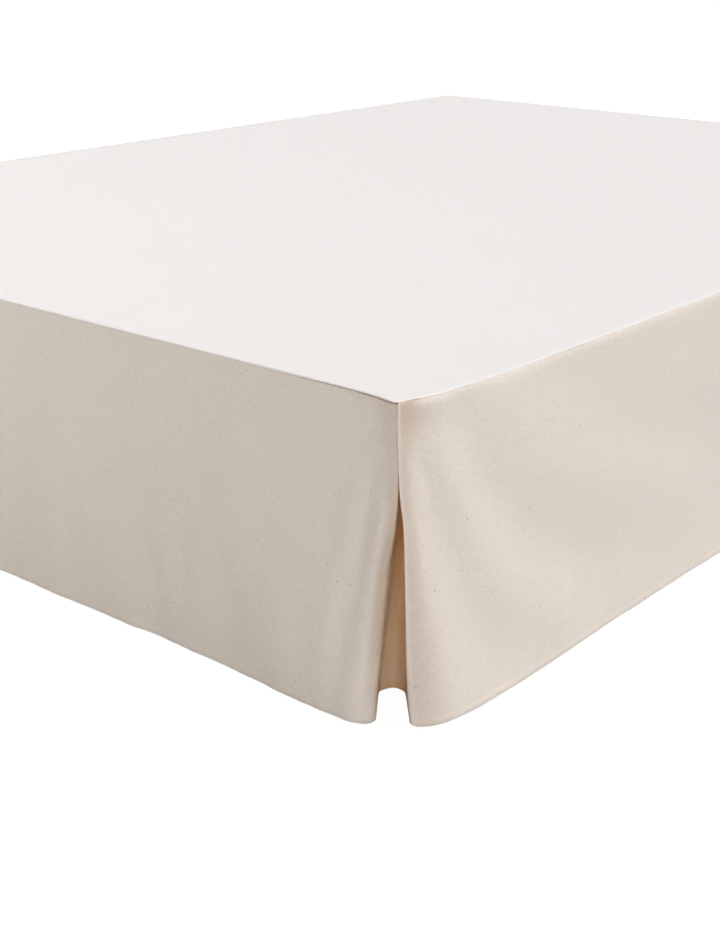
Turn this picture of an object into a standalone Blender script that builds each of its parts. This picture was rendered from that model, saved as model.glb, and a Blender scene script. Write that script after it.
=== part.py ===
"""Bed skirt on a plain double bed base: a platform panel, three drops and an inverted pleat at each foot corner.

Metres, +Z up, the floor at z = 0. The foot end faces -Y, the head end +Y and the bed's right side +X. The drops hang
from the platform panel's edge. At each foot corner their cloth folds back behind the panels and around an underlay.
The pleat is shut at the top and opens towards the hem.
"""

import math
from typing import NamedTuple

import bmesh
import bpy
import numpy as np

MM = 0.001

# Driving dimensions
PANEL_WIDTH = 1.400  # platform panel, over the drops
PANEL_LENGTH = 1.900
DROP = 0.350  # from the platform panel's top face to the hem
FLOOR_CLEARANCE = 0.006  # from the hem to the floor
HEM_DEPTH = 0.012
CANVAS = 0.0016  # the drops' cloth
HEM_THICKNESS = 0.0022  # the same cloth where it is turned up
PLATFORM_CLOTH = 0.0015
SEAM_GAP = 0.0005  # between two pieces of cloth
REST_GAP = 0.0003  # between cloth and base, and between base and legs

BASE_INSET = 0.012  # from the skirt's planes to the base's sides
BASE_DEPTH = 0.080
BASE_CORNER_RADIUS = 0.110
BASE_EDGE_RADIUS = 0.008
LEG_TOP_RADIUS = 0.026
LEG_FOOT_RADIUS = 0.018
LEG_CHAMFER = 0.003
LEG_SIDES = 20
LEG_INSET_X = 0.190  # from the skirt's planes to the outer legs' axes
LEG_INSET_Y = 0.210

# Heights
PANEL_TOP = FLOOR_CLEARANCE + DROP
PANEL_UNDERSIDE = PANEL_TOP - PLATFORM_CLOTH
DROP_TOP = PANEL_UNDERSIDE - SEAM_GAP
BASE_TOP = PANEL_UNDERSIDE - REST_GAP
BASE_UNDERSIDE = BASE_TOP - BASE_DEPTH
LEG_TOP = BASE_UNDERSIDE - REST_GAP

# The skirt's vertical planes. The foot drop bulges outwards and the head end is straight, so the planes are set half
# of that bulge towards the head, which centres the whole part on the origin.
FOOT_BULGE = 0.0124
SIDE_PLANE = PANEL_WIDTH / 2
FOOT_PLANE = FOOT_BULGE / 2 - PANEL_LENGTH / 2
HEAD_PLANE = FOOT_PLANE + PANEL_LENGTH


class Wave(NamedTuple):
    """Where a drop's outer face stands outside its plane, in mm, at one distance from the corner's fold."""

    from_fold: float
    top: float
    hem: float
    other_hem: float  # the same on the bed's left half


FOOT_WAVES = (
    Wave(14, 3.8, 8.6, 7.9),
    Wave(28, 1.2, 11.4, 10.6),
    Wave(45, 0.0, 12.4, 12.4),
    Wave(75, 0.0, 11.2, 11.9),
    Wave(115, 0.0, 9.0, 9.4),
    Wave(180, 0.0, 5.9, 6.8),
    Wave(240, 0.0, 4.2, 4.6),
    Wave(373, 0.0, 3.8, 3.2),
    Wave(516, 0.0, 4.3, 5.2),
    Wave(643, 0.0, 5.0, 5.0),
)
SIDE_WAVES = (
    Wave(12, -17.7, -7.5, -8.6),
    Wave(25, -13.5, -1.5, -2.4),
    Wave(45, -8.5, 3.5, 2.9),
    Wave(75, -5.5, 7.2, 6.6),
    Wave(108, -3.0, 8.7, 8.4),
    Wave(145, -2.0, 8.7, 8.7),
    Wave(185, -0.5, 7.8, 8.2),
    Wave(230, 0.0, 6.6, 7.0),
    Wave(310, 0.0, 4.2, 4.9),
    Wave(400, 0.0, 2.9, 3.4),
    Wave(500, 0.0, 3.0, 2.6),
    Wave(600, 0.0, 2.5, 3.6),
    Wave(740, 0.0, 4.0, 5.8),
    Wave(900, 0.0, 6.0, 4.2),
    Wave(1060, 0.0, 3.4, 2.4),
    Wave(1220, 0.0, 2.5, 4.4),
    Wave(1370, 0.0, 5.0, 6.3),
    Wave(1520, 0.0, 6.4, 4.0),
    Wave(1680, 0.0, 3.8, 2.8),
    Wave(1820, 0.0, 2.6, 3.2),
    Wave(1904, 0.0, 2.6, 3.0),
)
WAVE_GROWTH = 1.1  # how the waves grow down the drop: the power of the share of the drop


class Pleat(NamedTuple):
    """One level section of a corner pleat, at a share of the drop below its top.

    Plan points are in mm from the corner of the skirt's planes: the first number runs past the corner along the
    foot, the second towards the head. The widths are across each fold, from layer to layer.
    """

    share: float
    foot_fold: tuple[float, float]
    foot_crease: tuple[float, float]
    underlay: tuple[float, float]
    side_crease: tuple[float, float]
    side_fold: tuple[float, float]
    foot_width: float
    side_width: float
    crease_width: float


PLEAT = (
    Pleat(0.00, (-24.6, -4.2), (-51.0, 2.5), (-27.0, 0.5), (-18.5, 22.5), (-21.8, -6.3), 2.2, 2.2, 2.2),
    Pleat(0.14, (-23.9, -3.6), (-49.0, 7.0), (-37.0, 14.0), (-20.0, 26.0), (-21.2, -5.0), 2.2, 2.2, 2.2),
    Pleat(0.26, (-24.3, -2.9), (-45.0, 16.5), (-47.0, 35.0), (-25.0, 29.0), (-21.1, -1.6), 2.4, 2.2, 2.4),
    Pleat(0.36, (-28.3, -2.7), (-46.5, 26.0), (-49.5, 42.0), (-31.0, 35.0), (-19.6, 3.0), 3.0, 2.2, 2.6),
    Pleat(0.50, (-38.0, -2.0), (-58.5, 37.5), (-58.5, 52.0), (-37.0, 42.0), (-20.4, 7.3), 5.0, 2.4, 2.8),
    Pleat(0.65, (-44.5, -1.2), (-71.5, 48.0), (-68.0, 61.5), (-45.5, 50.0), (-22.3, 12.6), 7.0, 3.0, 3.0),
    Pleat(0.80, (-51.0, -0.2), (-83.0, 54.5), (-78.0, 69.5), (-55.0, 58.0), (-25.0, 19.0), 8.0, 4.0, 3.4),
    Pleat(0.92, (-56.0, 1.2), (-90.5, 57.5), (-85.5, 74.0), (-66.5, 69.0), (-25.0, 23.8), 8.6, 5.4, 4.0),
    Pleat(1.00, (-58.5, 3.3), (-94.0, 59.5), (-88.0, 76.5), (-73.0, 75.0), (-22.5, 25.8), 9.0, 6.5, 4.5),
)
LEFT_OPENING = 0.93  # the left corner's pleat opens less: its sections come from a little higher up
FOLD_REACH = 6.0  # mm of each layer that stays parallel beside a fold
FOLD_SAMPLES = 2  # points per control point where the cloth folds
PANEL_SAMPLES = 1

# Levels of the drops' sections. The two either side of the hem's top edge make its step.
HEM_SHARE = 1 - HEM_DEPTH / DROP
HEM_STEP = 0.003
LEVELS = (0.0, 0.08, 0.16, 0.24, 0.31, 0.38, 0.46, 0.55, 0.64, 0.73, 0.82, 0.90, HEM_SHARE - HEM_STEP, HEM_SHARE, 1.0)


def unit(vector):
    """The vector at length 1."""
    return vector / np.linalg.norm(vector)


def turned(vector, angle):
    """The plan vector, turned to the left by an angle in radians."""
    cosine, sine = math.cos(angle), math.sin(angle)
    return np.array([cosine * vector[0] - sine * vector[1], sine * vector[0] + cosine * vector[1]])


def section_at(share):
    """The pleat's section at a share of the drop, read smoothly between the table's rows."""
    rows = [np.hstack([np.ravel(value) for value in row]) for row in PLEAT]
    shares = [row.share for row in PLEAT]
    last = len(rows) - 2
    low = min(max(np.searchsorted(shares, share, side="right") - 1, 0), last)
    span = shares[low + 1] - shares[low]
    slopes = []
    for row in (low, low + 1):
        before, after = max(row - 1, 0), min(row + 1, last + 1)
        slopes.append((rows[after] - rows[before]) / (shares[after] - shares[before]) * span)
    t = (share - shares[low]) / span
    value = (
        rows[low] * (2 * t**3 - 3 * t**2 + 1)
        + slopes[0] * (t**3 - 2 * t**2 + t)
        + rows[low + 1] * (3 * t**2 - 2 * t**3)
        + slopes[1] * (t**3 - t**2)
    )
    points = [value[start : start + 2] for start in range(1, 11, 2)]
    return Pleat(share, *points, *value[11:])


def fold_controls(before, tip, after, width, side):
    """Four control points that take the cloth round a fold.

    The path comes from before, turns at tip and leaves for after. side is 1 for a turn to the left and -1 for one to
    the right, and width is the distance between the two layers.
    """
    come, leave = unit(tip - before), unit(after - tip)
    turn = math.atan2(come[0] * leave[1] - come[1] * leave[0], float(come @ leave))
    if side * turn < -math.pi / 2:
        turn += side * 2 * math.pi
    across = turned(come, turn / 2) * width / 2
    return [tip - across - come * FOLD_REACH, tip - across, tip + across, tip + across + leave * FOLD_REACH]


def wave_offset(wave, share, left):
    """How far the middle of the cloth stands outside its plane, in mm."""
    hem = wave.other_hem if left else wave.hem
    return wave.top + (hem - wave.top) * share**WAVE_GROWTH - CANVAS / MM / 2


def foot_controls(share, fold_x, left):
    """The foot panel's control points from its middle to the corner's fold, in corner plan mm."""
    half = PANEL_WIDTH / 2 / MM
    stretch = (half + fold_x) / FOOT_WAVES[-1].from_fold
    return [
        np.array([fold_x - wave.from_fold * stretch, -wave_offset(wave, share, left)]) for wave in reversed(FOOT_WAVES)
    ]


def side_controls(share, fold_y, left):
    """A side panel's control points from the corner's fold to the head end, in corner plan mm."""
    stretch = (PANEL_LENGTH / MM - fold_y) / SIDE_WAVES[-1].from_fold
    return [np.array([wave_offset(wave, share, left), fold_y + wave.from_fold * stretch]) for wave in SIDE_WAVES]


class CornerPath(NamedTuple):
    """A corner's control points in plan mm, split where the foot drop's cloth meets the side drop's."""

    foot: list
    pleat: list
    side: list


def corner_path(share, left):
    """The cloth's way from the middle of the foot, through the pleat and along the side to the head."""
    section = section_at(share * LEFT_OPENING if left else share)
    foot = foot_controls(share, section.foot_fold[0], left)
    side = side_controls(share, section.side_fold[1], left)
    pleat = [
        *fold_controls(foot[-1], section.foot_fold, section.foot_crease, section.foot_width, 1),
        *fold_controls(section.foot_fold, section.foot_crease, section.underlay, section.crease_width, -1),
        section.underlay,
        *fold_controls(section.underlay, section.side_crease, section.side_fold, section.crease_width, -1),
        *fold_controls(section.side_crease, section.side_fold, side[0], section.side_width, 1),
    ]
    return CornerPath(foot, pleat, side)


PLEAT_CONTROLS = 17
SEAM_CONTROL = 11  # the seam lies in the side crease, half way past this control point of the pleat


def world_plan(points, left):
    """Corner plan points in mm as world plan points in metres."""
    across = -1 if left else 1
    return [np.array([across * (SIDE_PLANE + x * MM), FOOT_PLANE + y * MM]) for x, y in points]


def spline_point(controls, place):
    """A point of the uniform cubic B-spline through these controls, at a place counted in control points."""
    start = min(int(place), len(controls) - 4)
    t = place - start
    weights = ((1 - t) ** 3, 3 * t**3 - 6 * t**2 + 4, -3 * t**3 + 3 * t**2 + 3 * t + 1, t**3)
    return sum(weight * controls[start + step] for step, weight in enumerate(weights)) / 6


def with_ends(controls):
    """The controls with one more at each end, so that the spline starts and ends on the given ones."""
    return [2 * controls[0] - controls[1], *controls, 2 * controls[-1] - controls[-2]]


def places(count, folded):
    """Where a path of so many control points is read: more often where folded says that the cloth folds."""
    found = []
    for index in range(count - 1):
        samples = FOLD_SAMPLES if folded(index) else PANEL_SAMPLES
        found.extend(index + step / samples for step in range(samples))
    return [*found, count - 1]


def foot_section(share):
    """The foot drop's path across the foot and into both pleats, from seam to seam."""
    right, left = corner_path(share, False), corner_path(share, True)
    pleat_end = SEAM_CONTROL + 2
    left_way = world_plan([*left.foot, *left.pleat], True)[::-1][PLEAT_CONTROLS - pleat_end :]
    right_way = world_plan([*right.foot, *right.pleat], False)[1 : len(right.foot) + pleat_end]
    controls = with_ends([*left_way, *right_way])
    last = len(controls) - 3
    near = pleat_end + 3
    stops = places(last + 1, lambda index: index < near or index >= last - near)
    # The seam is half way between the path's last two control points.
    stops = [0.5, *(stop for stop in stops if 0.5 < stop < last - 0.5), last - 0.5]
    return [spline_point(controls, stop) for stop in stops]


def side_section(share, left):
    """A side drop's path from the seam in its pleat to the head end."""
    way = corner_path(share, left)
    controls = with_ends(world_plan([*way.pleat[SEAM_CONTROL:], *way.side], left))
    last = len(controls) - 3
    near = PLEAT_CONTROLS - SEAM_CONTROL + 3
    stops = places(last + 1, lambda index: index < near)
    stops = [0.5, *(stop for stop in stops if stop > 0.5)]
    points = [spline_point(controls, stop) for stop in stops]
    points[0] = points[0] + unit(points[1] - points[0]) * SEAM_GAP
    return points


def add_object(name, mesh, material, collection, parent):
    """A new object of this mesh in the part's collection."""
    made = bpy.data.objects.new(name, mesh)
    made.data.materials.append(material)
    made.parent = parent
    collection.objects.link(made)
    return made


def add_drop(name, section, material, collection, parent):
    """A drop lofted through its level sections, with the cloth's thickness and the thicker hem.

    section is a function from a share of the drop to the path of the cloth's middle.
    """
    form = bmesh.new()
    thick = form.verts.layers.deform.new()
    rings = []
    for share in LEVELS:
        height = DROP_TOP + (FLOOR_CLEARANCE - DROP_TOP) * share
        ring = [form.verts.new((x, y, height)) for x, y in section(share)]
        for vertex in ring:
            vertex[thick][0] = 1.0 if share >= HEM_SHARE else 0.0
        rings.append(ring)
    for upper, lower in zip(rings, rings[1:]):
        for column in range(len(upper) - 1):
            form.faces.new((upper[column], lower[column], lower[column + 1], upper[column + 1]))
    bmesh.ops.recalc_face_normals(form, faces=form.faces)
    mesh = bpy.data.meshes.new(name)
    form.to_mesh(mesh)
    form.free()
    mesh.shade_smooth()
    drop = add_object(name, mesh, material, collection, parent)
    drop.vertex_groups.new(name="hem")
    cloth = drop.modifiers.new("cloth", "SOLIDIFY")
    cloth.thickness = HEM_THICKNESS
    cloth.offset = 0.0
    cloth.vertex_group = "hem"
    cloth.thickness_vertex_group = CANVAS / HEM_THICKNESS
    return drop


def panel_outline():
    """The platform panel's outline in world plan metres: the drops' outer faces at their top, corner to corner."""
    half = CANVAS / MM / 2
    section = section_at(0.0)
    folds = [
        section.foot_fold + np.array([0.0, -section.foot_width / 2 - half]),
        section.side_fold + np.array([section.side_width / 2, -half]),
    ]
    corners = []
    for left in (False, True):
        way = corner_path(0.0, left)
        foot = [point + (0.0, -half) for point in way.foot]
        side = [point + (half, 0.0) for point in way.side]
        corners.append(world_plan([*foot, *folds, *side], left))
    right, left = corners
    controls = with_ends([*left[::-1], *right[1:]])
    last = len(controls) - 3
    # Both corners lie a side panel's controls away from the path's ends.
    near = len(SIDE_WAVES)
    stops = places(last + 1, lambda index: near - 6 <= min(index, last - 1 - index) < near + 5)
    return [spline_point(controls, stop) for stop in stops]


def add_platform_panel(material, collection, parent):
    """The flat cloth on the base: a filled outline with a soft edge."""
    edge = PLATFORM_CLOTH * 0.3
    outline = panel_outline()
    curve = bpy.data.curves.new("platform_panel", "CURVE")
    curve.dimensions = "2D"
    curve.fill_mode = "BOTH"
    curve.extrude = PLATFORM_CLOTH / 2 - edge
    curve.bevel_depth = edge
    curve.bevel_resolution = 1
    curve.offset = -edge
    spline = curve.splines.new("POLY")
    spline.points.add(len(outline) - 1)
    for point, (x, y) in zip(spline.points, outline):
        point.co = (x, y, 0.0, 1.0)
    spline.use_cyclic_u = True
    panel = add_object("platform_panel", curve, material, collection, parent)
    panel.location = (0.0, 0.0, PANEL_UNDERSIDE + PLATFORM_CLOTH / 2)
    return panel


def add_base(material, collection, parent):
    """The bed base: a block with rounded upright corners and soft rims."""
    width = PANEL_WIDTH - 2 * BASE_INSET
    length = PANEL_LENGTH - 2 * BASE_INSET
    form = bmesh.new()
    bmesh.ops.create_cube(form, size=1.0)
    bmesh.ops.scale(form, vec=(width, length, BASE_DEPTH), verts=form.verts)
    upright = [edge for edge in form.edges if abs(edge.verts[0].co.z - edge.verts[1].co.z) > BASE_DEPTH / 2]
    bmesh.ops.bevel(form, geom=upright, offset=BASE_CORNER_RADIUS, segments=9, profile=0.5, affect="EDGES")
    mesh = bpy.data.meshes.new("bed_base")
    form.to_mesh(mesh)
    form.free()
    base = add_object("bed_base", mesh, material, collection, parent)
    base.location = (0.0, (FOOT_PLANE + HEAD_PLANE) / 2, BASE_TOP - BASE_DEPTH / 2)
    rim = base.modifiers.new("rim", "BEVEL")
    rim.width = BASE_EDGE_RADIUS
    rim.segments = 3
    rim.limit_method = "ANGLE"
    rim.angle_limit = math.radians(60)
    mesh.shade_smooth()
    mesh.set_sharp_from_angle(angle=math.radians(40))
    return base


def leg_places():
    """Each leg's name and plan position: three rows of two."""
    rows = (
        ("foot", FOOT_PLANE + LEG_INSET_Y),
        ("middle", (FOOT_PLANE + HEAD_PLANE) / 2),
        ("head", HEAD_PLANE - LEG_INSET_Y),
    )
    sides = (("left", LEG_INSET_X - SIDE_PLANE), ("right", SIDE_PLANE - LEG_INSET_X))
    return [(f"leg_{row}_{side}", x, y) for row, y in rows for side, x in sides]


def add_leg(name, x, y, material, collection, parent):
    """A turned, tapered leg: a half profile swept round its axis."""
    profile = (
        (0.0, LEG_TOP),
        (LEG_TOP_RADIUS, LEG_TOP),
        (LEG_FOOT_RADIUS, LEG_CHAMFER),
        (LEG_FOOT_RADIUS - LEG_CHAMFER, 0.0),
        (0.0, 0.0),
    )
    form = bmesh.new()
    points = [form.verts.new((radius, 0.0, height)) for radius, height in profile]
    for start, end in zip(points, points[1:]):
        form.edges.new((start, end))
    mesh = bpy.data.meshes.new(name)
    form.to_mesh(mesh)
    form.free()
    leg = add_object(name, mesh, material, collection, parent)
    leg.location = (x, y, 0.0)
    sweep = leg.modifiers.new("turning", "SCREW")
    sweep.steps = LEG_SIDES
    sweep.render_steps = LEG_SIDES
    sweep.use_merge_vertices = True
    sweep.merge_threshold = 0.0001
    return leg


def cloth_material(name, colour, roughness):
    """A plain matt finish."""
    material = bpy.data.materials.new(name)
    material.use_nodes = True
    shader = material.node_tree.nodes["Principled BSDF"]
    shader.inputs["Base Color"].default_value = (*colour, 1.0)
    shader.inputs["Roughness"].default_value = roughness
    shader.inputs["Metallic"].default_value = 0.0
    return material


def main():
    for existing in list(bpy.data.objects):
        bpy.data.objects.remove(existing, do_unlink=True)
    collection = bpy.data.collections.new("bed_skirt_on_bed_base")
    bpy.context.scene.collection.children.link(collection)
    root = bpy.data.objects.new("bed_skirt_root", None)
    collection.objects.link(root)

    canvas = cloth_material("natural_canvas", (0.78, 0.70, 0.63), 0.95)
    platform = cloth_material("platform_cloth", (0.90, 0.87, 0.84), 0.92)
    base_cloth = cloth_material("base_ticking", (0.55, 0.53, 0.50), 0.90)
    wood = cloth_material("leg_wood", (0.30, 0.18, 0.10), 0.55)

    add_platform_panel(platform, collection, root)
    add_drop("foot_drop", foot_section, canvas, collection, root)
    add_drop("side_drop_right", lambda share: side_section(share, False), canvas, collection, root)
    add_drop("side_drop_left", lambda share: side_section(share, True), canvas, collection, root)
    add_base(base_cloth, collection, root)
    for name, x, y in leg_places():
        add_leg(name, x, y, wood, collection, root)


main()
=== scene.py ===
"""Looks of a bed skirt on a plain double bed base: a white platform, and canvas drops with inverted pleats.

Everything is in metres in the model's own frame: +Z up, the floor at z = 0, the foot end towards -Y and
the bed's right side towards +X. The cloth follows the model's folds with finer steps, turned hems, seams
and soft creases. Plan points of a corner, and the sizes of creases, are in mm from the corner of the
skirt's planes.
"""

import logging
import math
from collections.abc import Callable
from dataclasses import dataclass, field, replace
from enum import Enum

import bmesh
import bpy
import numpy as np
from mathutils import Matrix, Vector, noise


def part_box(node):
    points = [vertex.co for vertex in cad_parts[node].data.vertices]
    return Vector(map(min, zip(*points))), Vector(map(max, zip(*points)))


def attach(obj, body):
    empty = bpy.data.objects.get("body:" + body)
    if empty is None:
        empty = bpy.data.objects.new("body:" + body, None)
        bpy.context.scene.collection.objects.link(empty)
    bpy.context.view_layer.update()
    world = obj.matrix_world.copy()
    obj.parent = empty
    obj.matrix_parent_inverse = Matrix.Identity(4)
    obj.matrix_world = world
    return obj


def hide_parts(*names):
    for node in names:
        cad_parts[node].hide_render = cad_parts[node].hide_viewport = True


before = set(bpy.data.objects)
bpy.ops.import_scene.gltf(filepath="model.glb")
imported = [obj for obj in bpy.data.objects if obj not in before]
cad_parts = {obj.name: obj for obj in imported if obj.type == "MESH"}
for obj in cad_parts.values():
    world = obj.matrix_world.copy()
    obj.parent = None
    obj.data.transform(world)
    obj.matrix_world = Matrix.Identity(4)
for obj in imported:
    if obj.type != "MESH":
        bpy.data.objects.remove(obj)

LOG = logging.getLogger("bed_skirt")
MM = 0.001
BODY = "root"
# Marks of painted shade: inside the pleats, and beside their folds
PLEAT_SHADE_MARK = "painted_pleat_shade"
FOLD_SHADE_MARK = "painted_fold_shade"

Pair = tuple[float, float]
Colour = tuple[float, float, float]
Value = bpy.types.NodeSocket | float | tuple

# The cut of the skirt, as in the model's own source
PANEL_WIDTH = 1.400
PANEL_LENGTH = 1.900
DROP = 0.350
HEM_DEPTH = 0.012
CANVAS_MIDDLE = 0.8  # mm from the outer face of the model's cloth to its middle
FACE_SHIFT = 0.35  # mm outwards, which brings the thinner drawn cloth to the model's outer face
LEFT_OPENING = 0.93  # the left corner's pleat opens less: its sections come from a little higher up
FOLD_REACH = 6.0  # mm of each layer that stays parallel beside a fold
WAVE_GROWTH = 1.1  # how the waves grow down the drop: the power of the share of the drop


class Hand(Enum):
    """A side of the bed, as its sign along X."""

    RIGHT = 1
    LEFT = -1


class Slot(Enum):
    """The record's material slots."""

    CANVAS = "drop_canvas"
    PLATFORM = "platform_cloth"
    BASE = "base_cloth"
    WOOD = "leg_wood"


# ----------------------------------------------------------------------------------------------------
# The form of the hanging cloth
# ----------------------------------------------------------------------------------------------------


@dataclass(frozen=True)
class Wave:
    """Where a drop's outer face stands outside its plane, in mm, at one distance from the corner's fold."""

    from_fold: float
    top: float
    hem: float
    other_hem: float  # the same on the bed's left half

    def middle(self, share: float, hand: Hand) -> float:
        """How far the middle of the cloth stands outside its plane.

        Args:
            share: The share of the drop above this height.
            hand: The side of the bed, because the two sides hang unlike.

        Returns:
            The offset in mm.
        """
        hem = self.hem if hand is Hand.RIGHT else self.other_hem
        return self.top + (hem - self.top) * share**WAVE_GROWTH - CANVAS_MIDDLE


FOOT_WAVES = (
    Wave(14, 3.8, 8.6, 7.9),
    Wave(28, 1.2, 11.4, 10.6),
    Wave(45, 0.0, 12.4, 12.4),
    Wave(75, 0.0, 11.2, 11.9),
    Wave(115, 0.0, 9.0, 9.4),
    Wave(180, 0.0, 5.9, 6.8),
    Wave(240, 0.0, 4.2, 4.6),
    Wave(373, 0.0, 3.8, 3.2),
    Wave(516, 0.0, 4.3, 5.2),
    Wave(643, 0.0, 5.0, 5.0),
)
SIDE_WAVES = (
    Wave(12, -17.7, -7.5, -8.6),
    Wave(25, -13.5, -1.5, -2.4),
    Wave(45, -8.5, 3.5, 2.9),
    Wave(75, -5.5, 7.2, 6.6),
    Wave(108, -3.0, 8.7, 8.4),
    Wave(145, -2.0, 8.7, 8.7),
    Wave(185, -0.5, 7.8, 8.2),
    Wave(230, 0.0, 6.6, 7.0),
    Wave(310, 0.0, 4.2, 4.9),
    Wave(400, 0.0, 2.9, 3.4),
    Wave(500, 0.0, 3.0, 2.6),
    Wave(600, 0.0, 2.5, 3.6),
    Wave(740, 0.0, 4.0, 5.8),
    Wave(900, 0.0, 6.0, 4.2),
    Wave(1060, 0.0, 3.4, 2.4),
    Wave(1220, 0.0, 2.5, 4.4),
    Wave(1370, 0.0, 5.0, 6.3),
    Wave(1520, 0.0, 6.4, 4.0),
    Wave(1680, 0.0, 3.8, 2.8),
    Wave(1820, 0.0, 2.6, 3.2),
    Wave(1904, 0.0, 2.6, 3.0),
)


@dataclass(frozen=True)
class Pleat:
    """One level section of a corner pleat: plan points in mm from the corner, and each fold's width."""

    share: float  # of the drop above this section
    foot_fold: Pair
    foot_crease: Pair
    underlay: Pair
    side_crease: Pair
    side_fold: Pair
    foot_width: float
    side_width: float
    crease_width: float

    def points(self) -> np.ndarray:
        """The section's points in order, one a row."""
        return np.array([self.foot_fold, self.foot_crease, self.underlay, self.side_crease, self.side_fold])

    def numbers(self) -> np.ndarray:
        """All of the section's sizes in one row."""
        return np.array([*self.points().ravel(), self.foot_width, self.side_width, self.crease_width])

    @classmethod
    def from_numbers(cls, share: float, numbers: np.ndarray) -> "Pleat":
        """The section of which these are all the sizes."""
        widths = 3
        return cls(share, *numbers[:-widths].reshape(-1, 2), *numbers[-widths:])


PLEAT = (
    Pleat(0.00, (-24.6, -4.2), (-51.0, 2.5), (-27.0, 0.5), (-18.5, 22.5), (-21.8, -6.3), 2.2, 2.2, 2.2),
    Pleat(0.14, (-23.9, -3.6), (-49.0, 7.0), (-37.0, 14.0), (-20.0, 26.0), (-21.2, -5.0), 2.2, 2.2, 2.2),
    Pleat(0.26, (-24.3, -2.9), (-45.0, 16.5), (-47.0, 35.0), (-25.0, 29.0), (-21.1, -1.6), 2.4, 2.2, 2.4),
    Pleat(0.36, (-28.3, -2.7), (-46.5, 26.0), (-49.5, 42.0), (-31.0, 35.0), (-19.6, 3.0), 3.0, 2.2, 2.6),
    Pleat(0.50, (-38.0, -2.0), (-58.5, 37.5), (-58.5, 52.0), (-37.0, 42.0), (-20.4, 7.3), 5.0, 2.4, 2.8),
    Pleat(0.65, (-44.5, -1.2), (-71.5, 48.0), (-68.0, 61.5), (-45.5, 50.0), (-22.3, 12.6), 7.0, 3.0, 3.0),
    Pleat(0.80, (-51.0, -0.2), (-83.0, 54.5), (-78.0, 69.5), (-55.0, 58.0), (-25.0, 19.0), 8.0, 4.0, 3.4),
    Pleat(0.92, (-56.0, 1.2), (-90.5, 57.5), (-85.5, 74.0), (-66.5, 69.0), (-25.0, 23.8), 8.6, 5.4, 4.0),
    Pleat(1.00, (-58.5, 3.3), (-94.0, 59.5), (-88.0, 76.5), (-73.0, 75.0), (-22.5, 25.8), 9.0, 6.5, 4.5),
)
PLEAT_CONTROLS = 17
SEAM_CONTROL = 11  # the seam lies in the side crease, half way past this control point of the pleat


def unit(vector: np.ndarray) -> np.ndarray:
    """The vector at length 1."""
    return vector / np.linalg.norm(vector)


def turned(vector: np.ndarray, angle: float) -> np.ndarray:
    """The plan vector, turned to the left by an angle in radians."""
    cosine, sine = math.cos(angle), math.sin(angle)
    return np.array([cosine * vector[0] - sine * vector[1], sine * vector[0] + cosine * vector[1]])


def soft_step(value: np.ndarray, low: float, high: float | np.ndarray) -> np.ndarray:
    """0 below low and 1 above high, with a smooth rise between them."""
    t = np.clip((value - low) / (high - low), 0.0, 1.0)
    return t * t * (3 - 2 * t)


def fade(value: np.ndarray, low: float, high: float | np.ndarray) -> np.ndarray:
    """1 below low and 0 above high, with a smooth fall between them."""
    return 1 - soft_step(value, low, high)


def lengths_along(line: np.ndarray) -> np.ndarray:
    """How far each point of a line is from its start, along it."""
    return np.concatenate([[0.0], np.cumsum(np.linalg.norm(np.diff(line, axis=0), axis=1))])


def spline_points(controls: np.ndarray, places: np.ndarray) -> np.ndarray:
    """Points of the uniform cubic B-spline through these controls.

    Args:
        controls: The control points, one a row.
        places: Where to read the spline, counted in control points.

    Returns:
        One point a row.
    """
    start = np.minimum(places.astype(int), len(controls) - 4)
    t = (places - start)[:, None]
    weights = ((1 - t) ** 3, 3 * t**3 - 6 * t**2 + 4, -3 * t**3 + 3 * t**2 + 3 * t + 1, t**3)
    return sum(weight * controls[start + step] for step, weight in enumerate(weights)) / 6


def with_ends(controls: np.ndarray) -> np.ndarray:
    """The controls with one more at each end, so that the spline starts and ends on the given ones."""
    return np.vstack([2 * controls[0] - controls[1], controls, 2 * controls[-1] - controls[-2]])


def rough(along: np.ndarray, down: np.ndarray, size: Pair, seed: float) -> np.ndarray:
    """Smooth unevenness between about -1 and 1 over the cloth.

    Args:
        along: Each point's place along the cloth.
        down: Each point's place down the cloth.
        size: The width and height of one swell, in the same unit.
        seed: Which unevenness it is.

    Returns:
        The value at each point.
    """
    spots = zip((along / size[0]).ravel().tolist(), (down / size[1]).ravel().tolist())
    return np.array([noise.noise((x, y, seed)) for x, y in spots]).reshape(along.shape)


@dataclass(frozen=True)
class SkirtPlanes:
    """The skirt's planes and heights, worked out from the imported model."""

    side: float
    foot: float
    head: float
    panel_top: float
    drop_top: float
    hem: float

    @classmethod
    def from_model(cls) -> "SkirtPlanes":
        """Reads the planes from the boxes of the platform panel and the foot drop."""
        low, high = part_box("platform_panel")
        drop_low, drop_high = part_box("foot_drop")
        return cls(high[0], high[1] - PANEL_LENGTH, high[1], high[2], drop_high[2], drop_low[2])


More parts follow.
